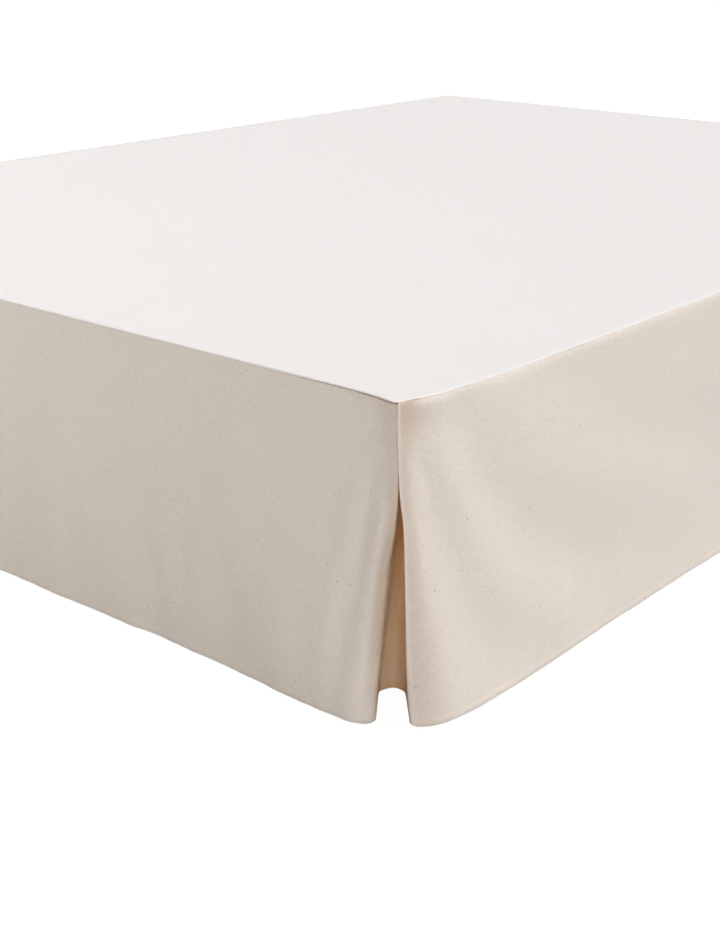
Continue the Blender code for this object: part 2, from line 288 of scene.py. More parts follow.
@dataclass(frozen=True)
class CornerForm:
    """The way of the cloth round one foot corner, from the middle of the foot to the head end."""

    hand: Hand
    planes: SkirtPlanes

    def section(self, share: float) -> Pleat:
        """The pleat's section at a share of the drop, read smoothly between the table's rows."""
        if self.hand is Hand.LEFT:
            share *= LEFT_OPENING
        rows = [row.numbers() for row in PLEAT]
        shares = [row.share for row in PLEAT]
        last = len(rows) - 2
        low = min(max(int(np.searchsorted(shares, share, side="right")) - 1, 0), last)
        span = shares[low + 1] - shares[low]
        slopes = []
        for row in (low, low + 1):
            before, after = max(row - 1, 0), min(row + 1, last + 1)
            slopes.append((rows[after] - rows[before]) / (shares[after] - shares[before]) * span)
        t = (share - shares[low]) / span
        return Pleat.from_numbers(
            share,
            rows[low] * (2 * t**3 - 3 * t**2 + 1)
            + slopes[0] * (t**3 - 2 * t**2 + t)
            + rows[low + 1] * (3 * t**2 - 2 * t**3)
            + slopes[1] * (t**3 - t**2),
        )

    @staticmethod
    def fold(
        before: np.ndarray, tip: np.ndarray, after: np.ndarray, width: float, side: int
    ) -> list[np.ndarray]:
        """Four control points that take the cloth round a fold.

        Args:
            before: Where the path comes from.
            tip: The middle of the fold.
            after: Where the path goes.
            width: The distance between the two layers.
            side: 1 for a turn to the left and -1 for one to the right.

        Returns:
            The control points in order.
        """
        come, leave = unit(tip - before), unit(after - tip)
        turn = math.atan2(come[0] * leave[1] - come[1] * leave[0], float(come @ leave))
        if side * turn < -math.pi / 2:
            turn += side * 2 * math.pi
        across = turned(come, turn / 2) * width / 2
        start, end = tip - across, tip + across
        return [start - come * FOLD_REACH, start, end, end + leave * FOLD_REACH]

    def parts(self, share: float) -> tuple[np.ndarray, np.ndarray, np.ndarray]:
        """The control points of the foot half, the pleat and the side, as world plan points in metres."""
        section = self.section(share)
        half, length = PANEL_WIDTH / 2 / MM, PANEL_LENGTH / MM
        stretch = (half + section.foot_fold[0]) / FOOT_WAVES[-1].from_fold
        foot = [
            np.array([section.foot_fold[0] - wave.from_fold * stretch, -wave.middle(share, self.hand)])
            for wave in reversed(FOOT_WAVES)
        ]
        stretch = (length - section.side_fold[1]) / SIDE_WAVES[-1].from_fold
        side = [
            np.array([wave.middle(share, self.hand), section.side_fold[1] + wave.from_fold * stretch])
            for wave in SIDE_WAVES
        ]
        crease = section.crease_width
        pleat = [
            *self.fold(foot[-1], section.foot_fold, section.foot_crease, section.foot_width, 1),
            *self.fold(section.foot_fold, section.foot_crease, section.underlay, crease, -1),
            section.underlay,
            *self.fold(section.underlay, section.side_crease, section.side_fold, crease, -1),
            *self.fold(section.side_crease, section.side_fold, side[0], section.side_width, 1),
        ]
        return self.placed(foot), self.placed(pleat), self.placed(side)

    def placed(self, points: list[np.ndarray]) -> np.ndarray:
        """Corner plan points in mm as world plan points in metres."""
        plan = np.array(points) * MM
        across = self.hand.value * (self.planes.side + plan[:, 0])
        return np.column_stack([across, self.planes.foot + plan[:, 1]])


@dataclass(frozen=True)
class Crease:
    """A soft trough or ridge, placed at mm along from the corner's plane and mm below the top."""

    route: tuple[Pair, ...]
    height: float  # mm outwards, and below 0 for a trough
    half_width: float
    spread: float = 1.0  # how much wider it is at its lower end

    def relief(self, along: np.ndarray, down: np.ndarray) -> np.ndarray:
        """How far this crease lifts each point of the cloth, in mm."""
        nearest = np.full(along.shape, np.inf)
        share = np.zeros(along.shape)
        pieces = len(self.route) - 1
        for index, (start, end) in enumerate(zip(self.route, self.route[1:])):
            run = (end[0] - start[0], end[1] - start[1])
            t = ((along - start[0]) * run[0] + (down - start[1]) * run[1]) / (run[0] ** 2 + run[1] ** 2)
            t = np.clip(t, 0.0, 1.0)
            distance = np.hypot(along - start[0] - t * run[0], down - start[1] - t * run[1])
            closer = distance < nearest
            nearest = np.where(closer, distance, nearest)
            share = np.where(closer, (index + t) / pieces, share)
        width = self.half_width * (1 + (self.spread - 1) * share)
        return self.height * np.exp(-((nearest / width) ** 2))


FOOT_CREASES = (
    Crease(((28, 5), (62, 8)), 1.9, 13),
    Crease(((30, 33), (54, 58)), 1.7, 8, 1.4),
    Crease(((30, 60), (50, 96)), 1.5, 8, 1.4),
    Crease(((40, 60), (68, 144), (79, 214), (107, 327)), -2.8, 14, 1.7),
    Crease(((36, 96), (55, 178), (61, 226), (73, 326)), 1.7, 10, 1.5),
    Crease(((70, 96), (92, 180), (118, 326)), 1.6, 14, 1.4),
    Crease(((97, 110), (100, 180)), -1.3, 16),
    Crease(((140, 216), (148, 326)), -1.2, 13, 1.3),
    Crease(((250, 262), (256, 326)), -2.4, 24),
    Crease(((168, 240), (172, 326)), 2.0, 28),
    Crease(((300, 20), (330, 330)), -1.6, 50),
    Crease(((390, 180), (372, 330)), -1.8, 34),
    Crease(((520, 60), (560, 210)), 1.8, 50),
)
SIDE_CREASES = (
    Crease(((4, -6), (38, -2)), 2.6, 28),
    Crease(((14, 52), (34, 48)), -2.4, 28),
    Crease(((5, 93), (18, 172), (41, 252), (56, 324)), 1.8, 12, 1.8),
    Crease(((20, 74), (55, 170), (82, 234), (139, 324)), -2.2, 15, 1.8),
    Crease(((42, 53), (92, 159), (133, 216), (241, 304)), 2.8, 18, 1.9),
    Crease(((69, 16), (100, 100), (184, 180), (329, 261)), -2.8, 20, 2.0),
    Crease(((138, 28), (206, 103), (318, 163), (504, 229)), 2.4, 32, 1.5),
    Crease(((250, 20), (420, 130), (640, 190)), -1.7, 36, 1.4),
    Crease(((620, 240), (700, 330)), -1.8, 40),
    Crease(((980, 90), (1060, 330)), 1.6, 50),
    Crease(((1390, 210), (1460, 330)), -1.8, 46),
)


@dataclass(frozen=True)
class Swell:
    """One layer of soft unevenness over a drop."""

    depth: float  # mm
    size: Pair  # mm across and down of one swell
    seed: float  # which unevenness it is, beside the drop's own seed
    at_top: float = 1.0  # how much of it is left at the top seam

    def lift(self, along: np.ndarray, down: np.ndarray, seed: float) -> np.ndarray:
        """How far it lifts each point, for a drop with this seed."""
        return self.depth * rough(along, down, self.size, seed + self.seed)


SIDE_SWELLS = (
    Swell(1.3, (150.0, 210.0), 0.0, 0.4),
    Swell(0.78, (56.0, 120.0), 2.2, 0.3),
    Swell(0.5, (19.0, 70.0), 7.3, 0.3),
)
FOOT_SWELLS = (
    Swell(2.2, (150.0, 210.0), 0.0, 0.4),
    Swell(1.32, (56.0, 120.0), 2.2, 0.3),
    Swell(1.1, (19.0, 70.0), 7.3, 0.3),
)
PUCKERS = (Swell(0.35, (11.0, 60.0), 3.1), Swell(0.245, (31.0, 60.0), 5.7))
STITCHES = Swell(0.5, (9.0, 400.0), 9.9)  # as a share of the stitches' pull


@dataclass(frozen=True)
class ClothRow:
    """One level line of points of a drop."""

    height: float  # of its points, in metres
    tuck: float = 0.0  # mm inwards, of the seam allowance
    layer: float = 0.0  # mm inwards on the turned side of the hem
    down: float = 0.0  # metres of cloth above it

    @property
    def is_shown(self) -> bool:
        """Whether the row lies on the drop's face."""
        return self.tuck == 0 and self.layer == 0


@dataclass(frozen=True)
class Lay:
    """Where the points of a drop lie, by row and column or by column alone."""

    plan: np.ndarray  # plan points in metres, before the relief
    outward: np.ndarray  # each point's outward direction in plan
    arc: np.ndarray  # each column's place along the cloth, in metres
    from_fold: np.ndarray  # each column's mm from its pleat's outer fold
    is_open: np.ndarray  # 1 for the columns of the open panel and 0 for those inside the pleats
    along: np.ndarray  # mm along the panel from the corner's plane
    down: np.ndarray  # mm below the top


@dataclass(frozen=True)
class PleatShade:
    """Painted shade inside a pleat, darker and warmer: some of it on the return, and all of it on the
    underlay.
    """

    on_return: float = 0.35
    return_starts: Pair = (0.0, 3.0)  # mm from the fold
    underlay_starts: Pair = (38.0, 44.0)
    at: tuple[float, ...] = (150.0, 240.0, 320.0, 337.0, 339.0)  # mm below the top
    shown: tuple[float, ...] = (1.0, 0.72, 0.6, 0.6, 0.75)

    def mark(self, lay: Lay) -> np.ndarray:
        """The painted shade at each point of the drop, from 0 to 1."""
        hidden = self.on_return * soft_step(lay.from_fold, *self.return_starts)
        hidden = hidden + (1 - self.on_return) * soft_step(lay.from_fold, *self.underlay_starts)
        return (1 - lay.is_open) * hidden * np.interp(lay.down, self.at, self.shown)


@dataclass(frozen=True)
class FoldShade:
    """Painted shade beside a fold, whose strength and reach change with the height."""

    strength: tuple[float, ...]  # at the heights below
    reach: tuple[float, ...]  # mm from the fold, at the same heights
    light_edge: float  # mm on the fold's very edge that the painted shade leaves out, so it stays light
    inside: float  # how much of the painted shade shows on the fold's inner side
    fades_from: float = 2.0  # mm from the fold
    inside_fades: Pair = (6.0, 14.0)
    at: tuple[float, ...] = (0.0, 60.0, 150.0, 250.0, 340.0)  # mm below the top

    def mark(self, lay: Lay) -> np.ndarray:
        """The painted shade at each point of the drop, from 0 to 1."""
        reach = np.interp(lay.down, self.at, self.reach)
        beside = soft_step(lay.from_fold, 0.0, self.light_edge) * fade(lay.from_fold, self.fades_from, reach)
        behind = self.inside * fade(lay.from_fold, *self.inside_fades)
        return np.interp(lay.down, self.at, self.strength) * np.where(lay.is_open > 0, beside, behind)


@dataclass
class Drop:
    """A drop of canvas, lofted through level sections, with a rounded top seam and a turned-up hem."""

    name: str
    planes: SkirtPlanes
    creases: tuple[Crease, ...]
    seed: float
    thickness: float = 0.9  # mm
    cut_width: float = field(default=0.0, init=False)  # metres, measured along the cloth as it is built
    cut_length: float = field(default=0.0, init=False)

    # Rows and columns
    row_step: float = 7.0  # mm
    shoulder_rows: int = 8
    seam_zone: float = 30.0  # mm below the top, with finer rows
    seam_rows: int = 11
    stitch_rows: tuple[float, ...] = (2.0, 1.2, 0.6, 0.0, -0.6, -1.2, -2.2, -4.0, -6.5)  # mm above the hem
    stitch_zone: float = 3.0  # mm above the hem, where the even rows end
    turn_rows: int = 6
    inner_rows: int = 3
    column_step: float = 7.0  # mm
    fold_samples: int = 6

    # The top seam
    rise: float = 0.25  # mm above the model's drop, which narrows the gap at the seam
    shoulder: Pair = (1.2, 3.2)  # mm in and down, from the seam to the panel's face
    shoulder_unevenness: float = 0.15  # share of its depth
    shoulder_swell: float = 19.0  # mm
    tuck: float = 3.0  # mm of seam allowance that shows behind the seam
    gape_depth: float = 0.0  # mm that the seam gapes near the corner
    gape_reach: float = 7.0  # mm down
    gape_unevenness: float = 0.35
    gape_swell: float = 26.0  # mm
    gape_fades: Pair = (100.0, 190.0)  # mm along
    gape_left: float = 0.15  # share that is left beyond that
    pucker_reach: float = 17.0  # mm down
    pucker_fall: float = 1.5

    # The panel
    swells: tuple[Swell, ...] = SIDE_SWELLS
    swells_grow: float = 120.0  # mm down
    creases_start: Pair = (-30.0, 10.0)  # mm down
    relief_starts: Pair = (1.0, 16.0)  # mm from the fold
    backed: Pair = (5.0, 38.0)  # mm from the fold, where the pleat's layers leave no room for a trough
    backed_down: Pair = (110.0, 190.0)  # mm down, where the pleat has opened and leaves that room
    tight: float = 0.12  # share of the shoulder that the pleat's layers leave
    roomy: Pair = (8.0, 34.0)  # mm from the fold, over which the whole shoulder has room
    allowance_starts: Pair = (0.5, 1.0)  # of that room
    shift_ends: Pair = (4.0, 9.0)  # mm into the pleat, where its cloth is no longer moved outwards

    # The hem
    turn_radius: float = 0.55  # mm, of the cloth's middle round the hem's edge
    cut_edge: float = 0.4  # mm from the turned cloth's cut edge to the hem's top
    stitch_pull: float = 0.12  # mm that the hem's stitching pulls the cloth in
    stitch_line: float = 0.4  # mm above the hem's top
    stitch_width: float = 1.1  # mm
    hem_swell: float = 0.14  # mm that the turned hem stands out
    hem_edge: float = 1.5  # mm over which it comes out

    # Painted shade: darker, warmer tones inside the pleats and beside their folds
    pleat_shade: PleatShade = PleatShade()
    fold_shade: FoldShade = FoldShade((0.44, 0.44, 0.90, 0.75, 0.12), (36.0, 18.0, 12.0, 12.0, 11.0), 0.1, 1.0)

    def controls(self, share: float) -> np.ndarray:
        """The path's control points at a share of the drop, in world plan metres."""
        raise NotImplementedError

    def is_folded(self, index: int, count: int) -> bool:
        """Whether the cloth folds between this control point and the next."""
        raise NotImplementedError

    def folds(self, count: int) -> tuple[float, ...]:
        """The places of the pleats' outer folds along the path."""
        raise NotImplementedError

    def open_columns(self, places: np.ndarray, count: int) -> np.ndarray:
        """1 for the columns of the open panel and 0 for those inside the pleats."""
        raise NotImplementedError

    def along_panel(self, plan: np.ndarray) -> np.ndarray:
        """How far each plan point is along its panel from the corner's plane, in mm."""
        raise NotImplementedError

    def start_and_end(self, count: int) -> Pair:
        """The places at which the path starts and ends."""
        raise NotImplementedError

    def rows(self) -> list[ClothRow]:
        """The cloth's lines from under the top seam, down the drop and up inside the hem."""
        top = self.planes.drop_top + (self.rise - self.thickness / 2) * MM
        deep = self.shoulder[1] * (1 + self.shoulder_unevenness)
        found = [ClothRow(top, self.tuck)]
        for step in range(self.shoulder_rows):
            angle = step / (self.shoulder_rows - 1) * math.pi / 2
            found.append(ClothRow(top - deep * MM * (1 - math.cos(angle))))
        hem_edge = self.planes.hem + (self.thickness / 2 + self.turn_radius) * MM
        hem_top = self.planes.hem + HEM_DEPTH
        upper = np.linspace(found[-1].height, top - self.seam_zone * MM, self.seam_rows)
        heights = np.linspace(upper[-1], hem_top + self.stitch_zone * MM, round(DROP / MM / self.row_step))
        fine = [hem_top + offset * MM for offset in self.stitch_rows]
        found.extend(ClothRow(height) for height in [*upper[1:], *heights[1:], *fine, hem_edge])
        for step in range(1, self.turn_rows + 1):
            angle = step / self.turn_rows * math.pi
            lowered = hem_edge - self.turn_radius * MM * math.sin(angle)
            found.append(ClothRow(lowered, layer=self.turn_radius * (1 - math.cos(angle))))
        inside = np.linspace(hem_edge, hem_top - self.cut_edge * MM, self.inner_rows + 1)[1:]
        found.extend(ClothRow(height, layer=2 * self.turn_radius) for height in inside)
        return self.measured(found)

    def measured(self, rows: list[ClothRow]) -> list[ClothRow]:
        """The same rows, with the metres of cloth above each of them."""
        line = np.array([(row.height, (row.tuck + row.layer) * MM) for row in rows])
        downs = lengths_along(line)
        self.cut_length = float(downs[-1])
        return [replace(row, down=float(down)) for row, down in zip(rows, downs)]

    def places(self) -> np.ndarray:
        """Where the path is read: finely where the cloth folds, and else at even steps."""
        controls = self.controls(0.5)
        count = len(controls) - 2
        start, end = self.start_and_end(count)
        found = [start]
        for index in range(count - 1):
            reach = float(np.linalg.norm(controls[index + 2] - controls[index + 1])) / MM
            steps = max(2, math.ceil(reach / self.column_step))
            if self.is_folded(index, count):
                steps = max(self.fold_samples, steps)
            found.extend(place for place in index + np.arange(steps) / steps if start < place < end)
        return np.array([*found, end])

    def lay(self, rows: list[ClothRow]) -> Lay:
        """Reads the path at each row's height.

        Args:
            rows: The cloth's lines.

        Returns:
            Where the points lie.
        """
        places = self.places()
        top, reach = self.planes.drop_top, self.planes.drop_top - self.planes.hem
        shares = [min(max((top - row.height) / reach, 0.0), 1.0) for row in rows]
        plan = np.array([spline_points(self.controls(share), places) for share in shares])
        run = np.gradient(plan, axis=1)
        run /= np.linalg.norm(run, axis=2, keepdims=True)
        outward = np.stack([run[..., 1], -run[..., 0]], axis=2)
        arc = lengths_along(plan[len(rows) // 2])
        count = len(self.controls(0.5)) - 2
        folds = [np.interp(place, places, arc) for place in self.folds(count)]
        from_fold = np.min([np.abs(arc - fold) for fold in folds], axis=0) / MM
        down = np.array([[max((top - row.height) / MM, 0.0)] for row in rows])
        return Lay(
            plan=plan,
            outward=outward,
            arc=arc,
            from_fold=from_fold,
            is_open=self.open_columns(places, count),
            along=self.along_panel(plan),
            down=np.broadcast_to(down, plan.shape[:2]),
        )

    def along_seam(self, along: np.ndarray, size: float, seed: float) -> np.ndarray:
        """Smooth unevenness between about -1 and 1 along the top seam, for one size of swell in mm."""
        return rough(along, np.zeros_like(along), (size, 1.0), self.seed + seed)

    def lean(self, along: np.ndarray, down: np.ndarray) -> np.ndarray:
        """How far each point leans inwards to the top seam, in mm, over the seam allowance behind it."""
        inward, deep = self.shoulder
        deep = deep * (1 + self.shoulder_unevenness * self.along_seam(along, self.shoulder_swell, 4.4))
        share = 1 - np.clip(down / deep, 0.0, 1.0)
        return inward * (1 - np.sqrt(1 - share**2))

    def gape(self, along: np.ndarray, down: np.ndarray) -> np.ndarray:
        """How far each point hangs lower because the seam gapes, in mm."""
        uneven = 1 + self.gape_unevenness * self.along_seam(along, self.gape_swell, 6.1)
        near_corner = 1 - (1 - self.gape_left) * soft_step(along, *self.gape_fades)
        return self.gape_depth * uneven * near_corner * np.exp(-((down / self.gape_reach) ** 2))

    def relief(self, lay: Lay, shown: np.ndarray) -> np.ndarray:
        """How far each point stands outside the smooth drop, in mm.

        Args:
            lay: Where the points lie.
            shown: 1 in rows on the drop's face, and 0 in the tucked and turned ones.

        Returns:
            The relief, one value for each point.
        """
        along, down = lay.along, lay.down
        height = sum(crease.relief(along, down) for crease in self.creases)
        height = height * soft_step(down, *self.creases_start)
        grown = soft_step(down, 0.0, self.swells_grow)
        for swell in self.swells:
            share = swell.at_top + (1 - swell.at_top) * grown
            height = height + share * swell.lift(along, down, self.seed)
        puckered = np.exp(-((down / self.pucker_reach) ** self.pucker_fall))
        for pucker in PUCKERS:
            height = height + puckered * pucker.lift(along, down, self.seed)
        under_hem_top = down - (DROP - HEM_DEPTH) / MM
        pull = self.stitch_pull * (1 + STITCHES.lift(along, down, self.seed))
        pull = pull * np.exp(-(((under_hem_top + self.stitch_line) / self.stitch_width) ** 2))
        hem = self.hem_swell * soft_step(under_hem_top, 0.0, self.hem_edge) - pull
        relief = height * soft_step(lay.from_fold, *self.relief_starts) * lay.is_open + hem * shown
        backed = fade(lay.from_fold, *self.backed) * fade(down, *self.backed_down)
        return relief * (1 - backed * (relief < 0))

    def outwards(self, lay: Lay, rows: list[ClothRow]) -> np.ndarray:
        """How far each point moves outwards from its place in plan, in mm.

        Args:
            lay: Where the points lie.
            rows: The cloth's lines.

        Returns:
            One value for each point.
        """
        room = self.tight + (1 - self.tight) * soft_step(lay.from_fold, *self.roomy) * lay.is_open
        tucks = np.array([[row.tuck] for row in rows]) * soft_step(room, *self.allowance_starts)
        layers = np.array([[row.layer] for row in rows])
        shown = np.array([[float(row.is_shown)] for row in rows])
        shift = FACE_SHIFT * np.maximum(lay.is_open, fade(lay.from_fold, *self.shift_ends))
        return self.relief(lay, shown) + shift - tucks - layers - self.lean(lay.along, lay.down) * room

    def build(self) -> bpy.types.Object:
        """Makes the drop as a thin closed sheet.

        Returns:
            The new object.
        """
        rows = self.rows()
        lay = self.lay(rows)
        self.cut_width = float(lay.arc[-1])
        points = lay.plan + lay.outward * (self.outwards(lay, rows) * MM)[..., None]
        heights = np.array([[row.height] for row in rows]) - self.gape(lay.along, lay.down) * MM
        grid, across = self.finish_end(np.dstack([points, heights]), lay, rows)
        marks = {}
        # Painted shade marks, kept on the points for the finish
        for mark, tone in ((PLEAT_SHADE_MARK, self.pleat_shade), (FOLD_SHADE_MARK, self.fold_shade)):
            marks[mark] = np.zeros(grid.shape[:2])
            marks[mark][:, : len(lay.arc)] = tone.mark(lay)
        downs = np.array([row.down for row in rows])
        cloth = sheet_object(self.name, grid, across, downs, self.thickness * MM, marks)
        LOG.info("%s: %d faces, cut %.3f x %.3f m", self.name, len(cloth.data.polygons), *self.flat())
        return cloth

    def finish_end(
        self, grid: np.ndarray, lay: Lay, rows: list[ClothRow]
    ) -> tuple[np.ndarray, np.ndarray]:
        """Adds what the path's end needs.

        Args:
            grid: The points so far.
            lay: Where they lie.
            rows: The cloth's lines.

        Returns:
            The whole grid and its columns' places along the cloth.
        """
        return grid, lay.arc

    def flat(self) -> Pair:
        """The size to which the cloth was cut."""
        return self.cut_width, self.cut_length


@dataclass
class FootDrop(Drop):
    """The drop across the foot end, with the cloth of both inverted pleats."""

    gape_depth: float = 1.35
    swells: tuple[Swell, ...] = FOOT_SWELLS

    def controls(self, share: float) -> np.ndarray:
        """The path from seam to seam: into the left pleat, across the foot and into the right pleat."""
        right = CornerForm(Hand.RIGHT, self.planes).parts(share)
        left = CornerForm(Hand.LEFT, self.planes).parts(share)
        pleat_end = SEAM_CONTROL + 2
        left_way = np.vstack([left[0], left[1]])[::-1][PLEAT_CONTROLS - pleat_end :]
        right_way = np.vstack([right[0], right[1]])[1 : len(right[0]) + pleat_end]
        return with_ends(np.vstack([left_way, right_way]))

    def is_folded(self, index: int, count: int) -> bool:
        """Whether the cloth folds between this control point and the next."""
        near = SEAM_CONTROL + 5
        return index < near or index >= count - 1 - near

    def folds(self, count: int) -> tuple[float, ...]:
        """The places of the two outer folds."""
        first = SEAM_CONTROL + 2 - 2.5
        return first, count - 1 - first

    def open_columns(self, places: np.ndarray, count: int) -> np.ndarray:
        """1 between the two outer folds."""
        first, last = self.folds(count)
        return ((places > first) & (places < last)).astype(float)

    def along_panel(self, plan: np.ndarray) -> np.ndarray:
        """mm from the nearer side plane, with the left half's creases a little further along."""
        near = (self.planes.side - np.abs(plan[..., 0])) / MM
        return np.where(plan[..., 0] < 0, near * 0.93 - 2.0, near)

    def start_and_end(self, count: int) -> Pair:
        """Both ends are seams, half way between the path's last two control points."""
        return 0.5, count - 1.5


@dataclass
class SideDrop(Drop):
    """A drop along one side, from the seam in its pleat to the turned edge at the head end."""

    hand: Hand = Hand.RIGHT
    rise: float = 1.0
    shoulder: Pair = (2.6, 9.0)
    shoulder_unevenness: float = 0.3
    # Painted shade beside the outer fold, strongest near the top
    fold_shade: FoldShade = FoldShade((0.76, 0.45, 0.37, 0.34, 0.32), (50.0, 24.0, 20.0, 32.0, 52.0), 4.0, 0.0)
    seam_gap: float = 0.025  # in control points, and about 0.5 mm
    head_hem: float = 12.0  # mm
    head_rows: tuple[float, ...] = (3.0, 6.0, 9.0)  # mm from the head edge, inside its hem
    head_turn: int = 6
    hems_meet: float = 9.0  # mm above the bottom hem, where the head hem starts to go round it

    def controls(self, share: float) -> np.ndarray:
        """The path from the pleat's seam round the outer fold and along the side."""
        _, pleat, side = CornerForm(self.hand, self.planes).parts(share)
        return with_ends(np.vstack([pleat[SEAM_CONTROL:], side]))

    def is_folded(self, index: int, count: int) -> bool:
        """Whether the cloth folds between this control point and the next."""
        return index < PLEAT_CONTROLS - SEAM_CONTROL + 3

    def folds(self, count: int) -> tuple[float, ...]:
        """The place of the outer fold."""
        return (PLEAT_CONTROLS - SEAM_CONTROL - 2.5,)

    def open_columns(self, places: np.ndarray, count: int) -> np.ndarray:
        """1 from the outer fold to the head end."""
        return (places > self.folds(count)[0]).astype(float)

    def along_panel(self, plan: np.ndarray) -> np.ndarray:
        """mm from the foot plane, with the left side's creases drawn out a little."""
        near = (plan[..., 1] - self.planes.foot) / MM
        return near if self.hand is Hand.RIGHT else near * 0.9 + 3.0

    def start_and_end(self, count: int) -> Pair:
        """The seam is half way between two control points, and the head end on the last."""
        return 0.5 + self.seam_gap, count - 1.0

    def finish_end(
        self, grid: np.ndarray, lay: Lay, rows: list[ClothRow]
    ) -> tuple[np.ndarray, np.ndarray]:
        """Turns the head end in: the columns go on round its edge and back along the inside.

        The bottom hem is turned up first, so the head hem goes round it with a wider turn.

        Args:
            grid: The points so far.
            lay: Where they lie.
            rows: The cloth's lines.

        Returns:
            The whole grid and its columns' places along the cloth.
        """
        layer = 2 * self.turn_radius
        heights = grid[:, -1, 2]
        hem_top = self.planes.hem + HEM_DEPTH
        in_hem = fade(heights, hem_top, hem_top + self.hems_meet * MM)
        radius = layer / 2 + layer * in_hem - np.array([row.layer for row in rows])
        end, normal = grid[:, -1, :2], lay.outward[:, -1]
        forward = np.stack([-normal[:, 1], normal[:, 0]], axis=1)
        angles = np.arange(1, self.head_turn + 1) / self.head_turn * math.pi
        extra = []
        for angle in angles:
            inward = (radius * (1 - math.cos(angle)) * MM)[:, None]
            ahead = (radius * math.sin(angle) * MM)[:, None]
            extra.append(end - normal * inward + forward * ahead)
        back = np.array([*self.head_rows, self.head_hem])
        for distance in back:
            column = int(np.argmin(np.abs(lay.arc - (lay.arc[-1] - distance * MM))))
            extra.append(grid[:, column, :2] - lay.outward[:, column] * (2 * radius * MM)[:, None])
        columns = [np.column_stack([column, heights])[:, None] for column in extra]
        bend = lay.arc[-1] + self.turn_radius * MM * angles
        places = np.concatenate([lay.arc, bend, bend[-1] + back * MM])
        self.cut_width = float(places[-1])
        return np.concatenate([grid, *columns], axis=1), places


def sheet_object(
    name: str,
    grid: np.ndarray,
    across: np.ndarray,
    down: np.ndarray,
    thickness: float,
    marks: dict[str, np.ndarray] | None = None,
) -> bpy.types.Object:
    """A closed sheet round a grid of points, with its cloth's own UV map in metres.

    Args:
        name: The object's name.
        grid: The points of the cloth's middle, by row and column.
        across: Each column's place along the cloth.
        down: Each row's place down the cloth.
        thickness: The cloth's thickness.
        marks: Values from 0 to 1 for each point that the finish reads, by their attributes' names.

    Returns:
        The new object, at the origin.
    """
    rows, columns = grid.shape[:2]
    first = (np.arange(rows - 1)[:, None] * columns + np.arange(columns - 1)[None, :]).ravel()
    faces = np.stack([first, first + columns, first + columns + 1, first + 1], axis=1)
    mesh = bpy.data.meshes.new(name)
    mesh.from_pydata(grid.reshape(-1, 3).tolist(), [], faces.tolist())
    place = np.stack(np.meshgrid(across, down), axis=2).reshape(-1, 2)[faces.ravel()]
    mesh.uv_layers.new(name="cloth").data.foreach_set("uv", place.ravel())
    for mark, values in (marks or {}).items():
        mesh.attributes.new(mark, "FLOAT", "POINT").data.foreach_set("value", values.ravel())
    mesh.shade_smooth()
    cloth = bpy.data.objects.new(name, mesh)
    bpy.context.scene.collection.objects.link(cloth)
    shell = cloth.modifiers.new("thickness", "SOLIDIFY")
    shell.thickness = thickness
    shell.offset = 0.0
    bpy.ops.object.select_all(action="DESELECT")
    cloth.select_set(True)
    bpy.context.view_layer.objects.active = cloth
    bpy.ops.object.modifier_apply(modifier=shell.name)
    return cloth


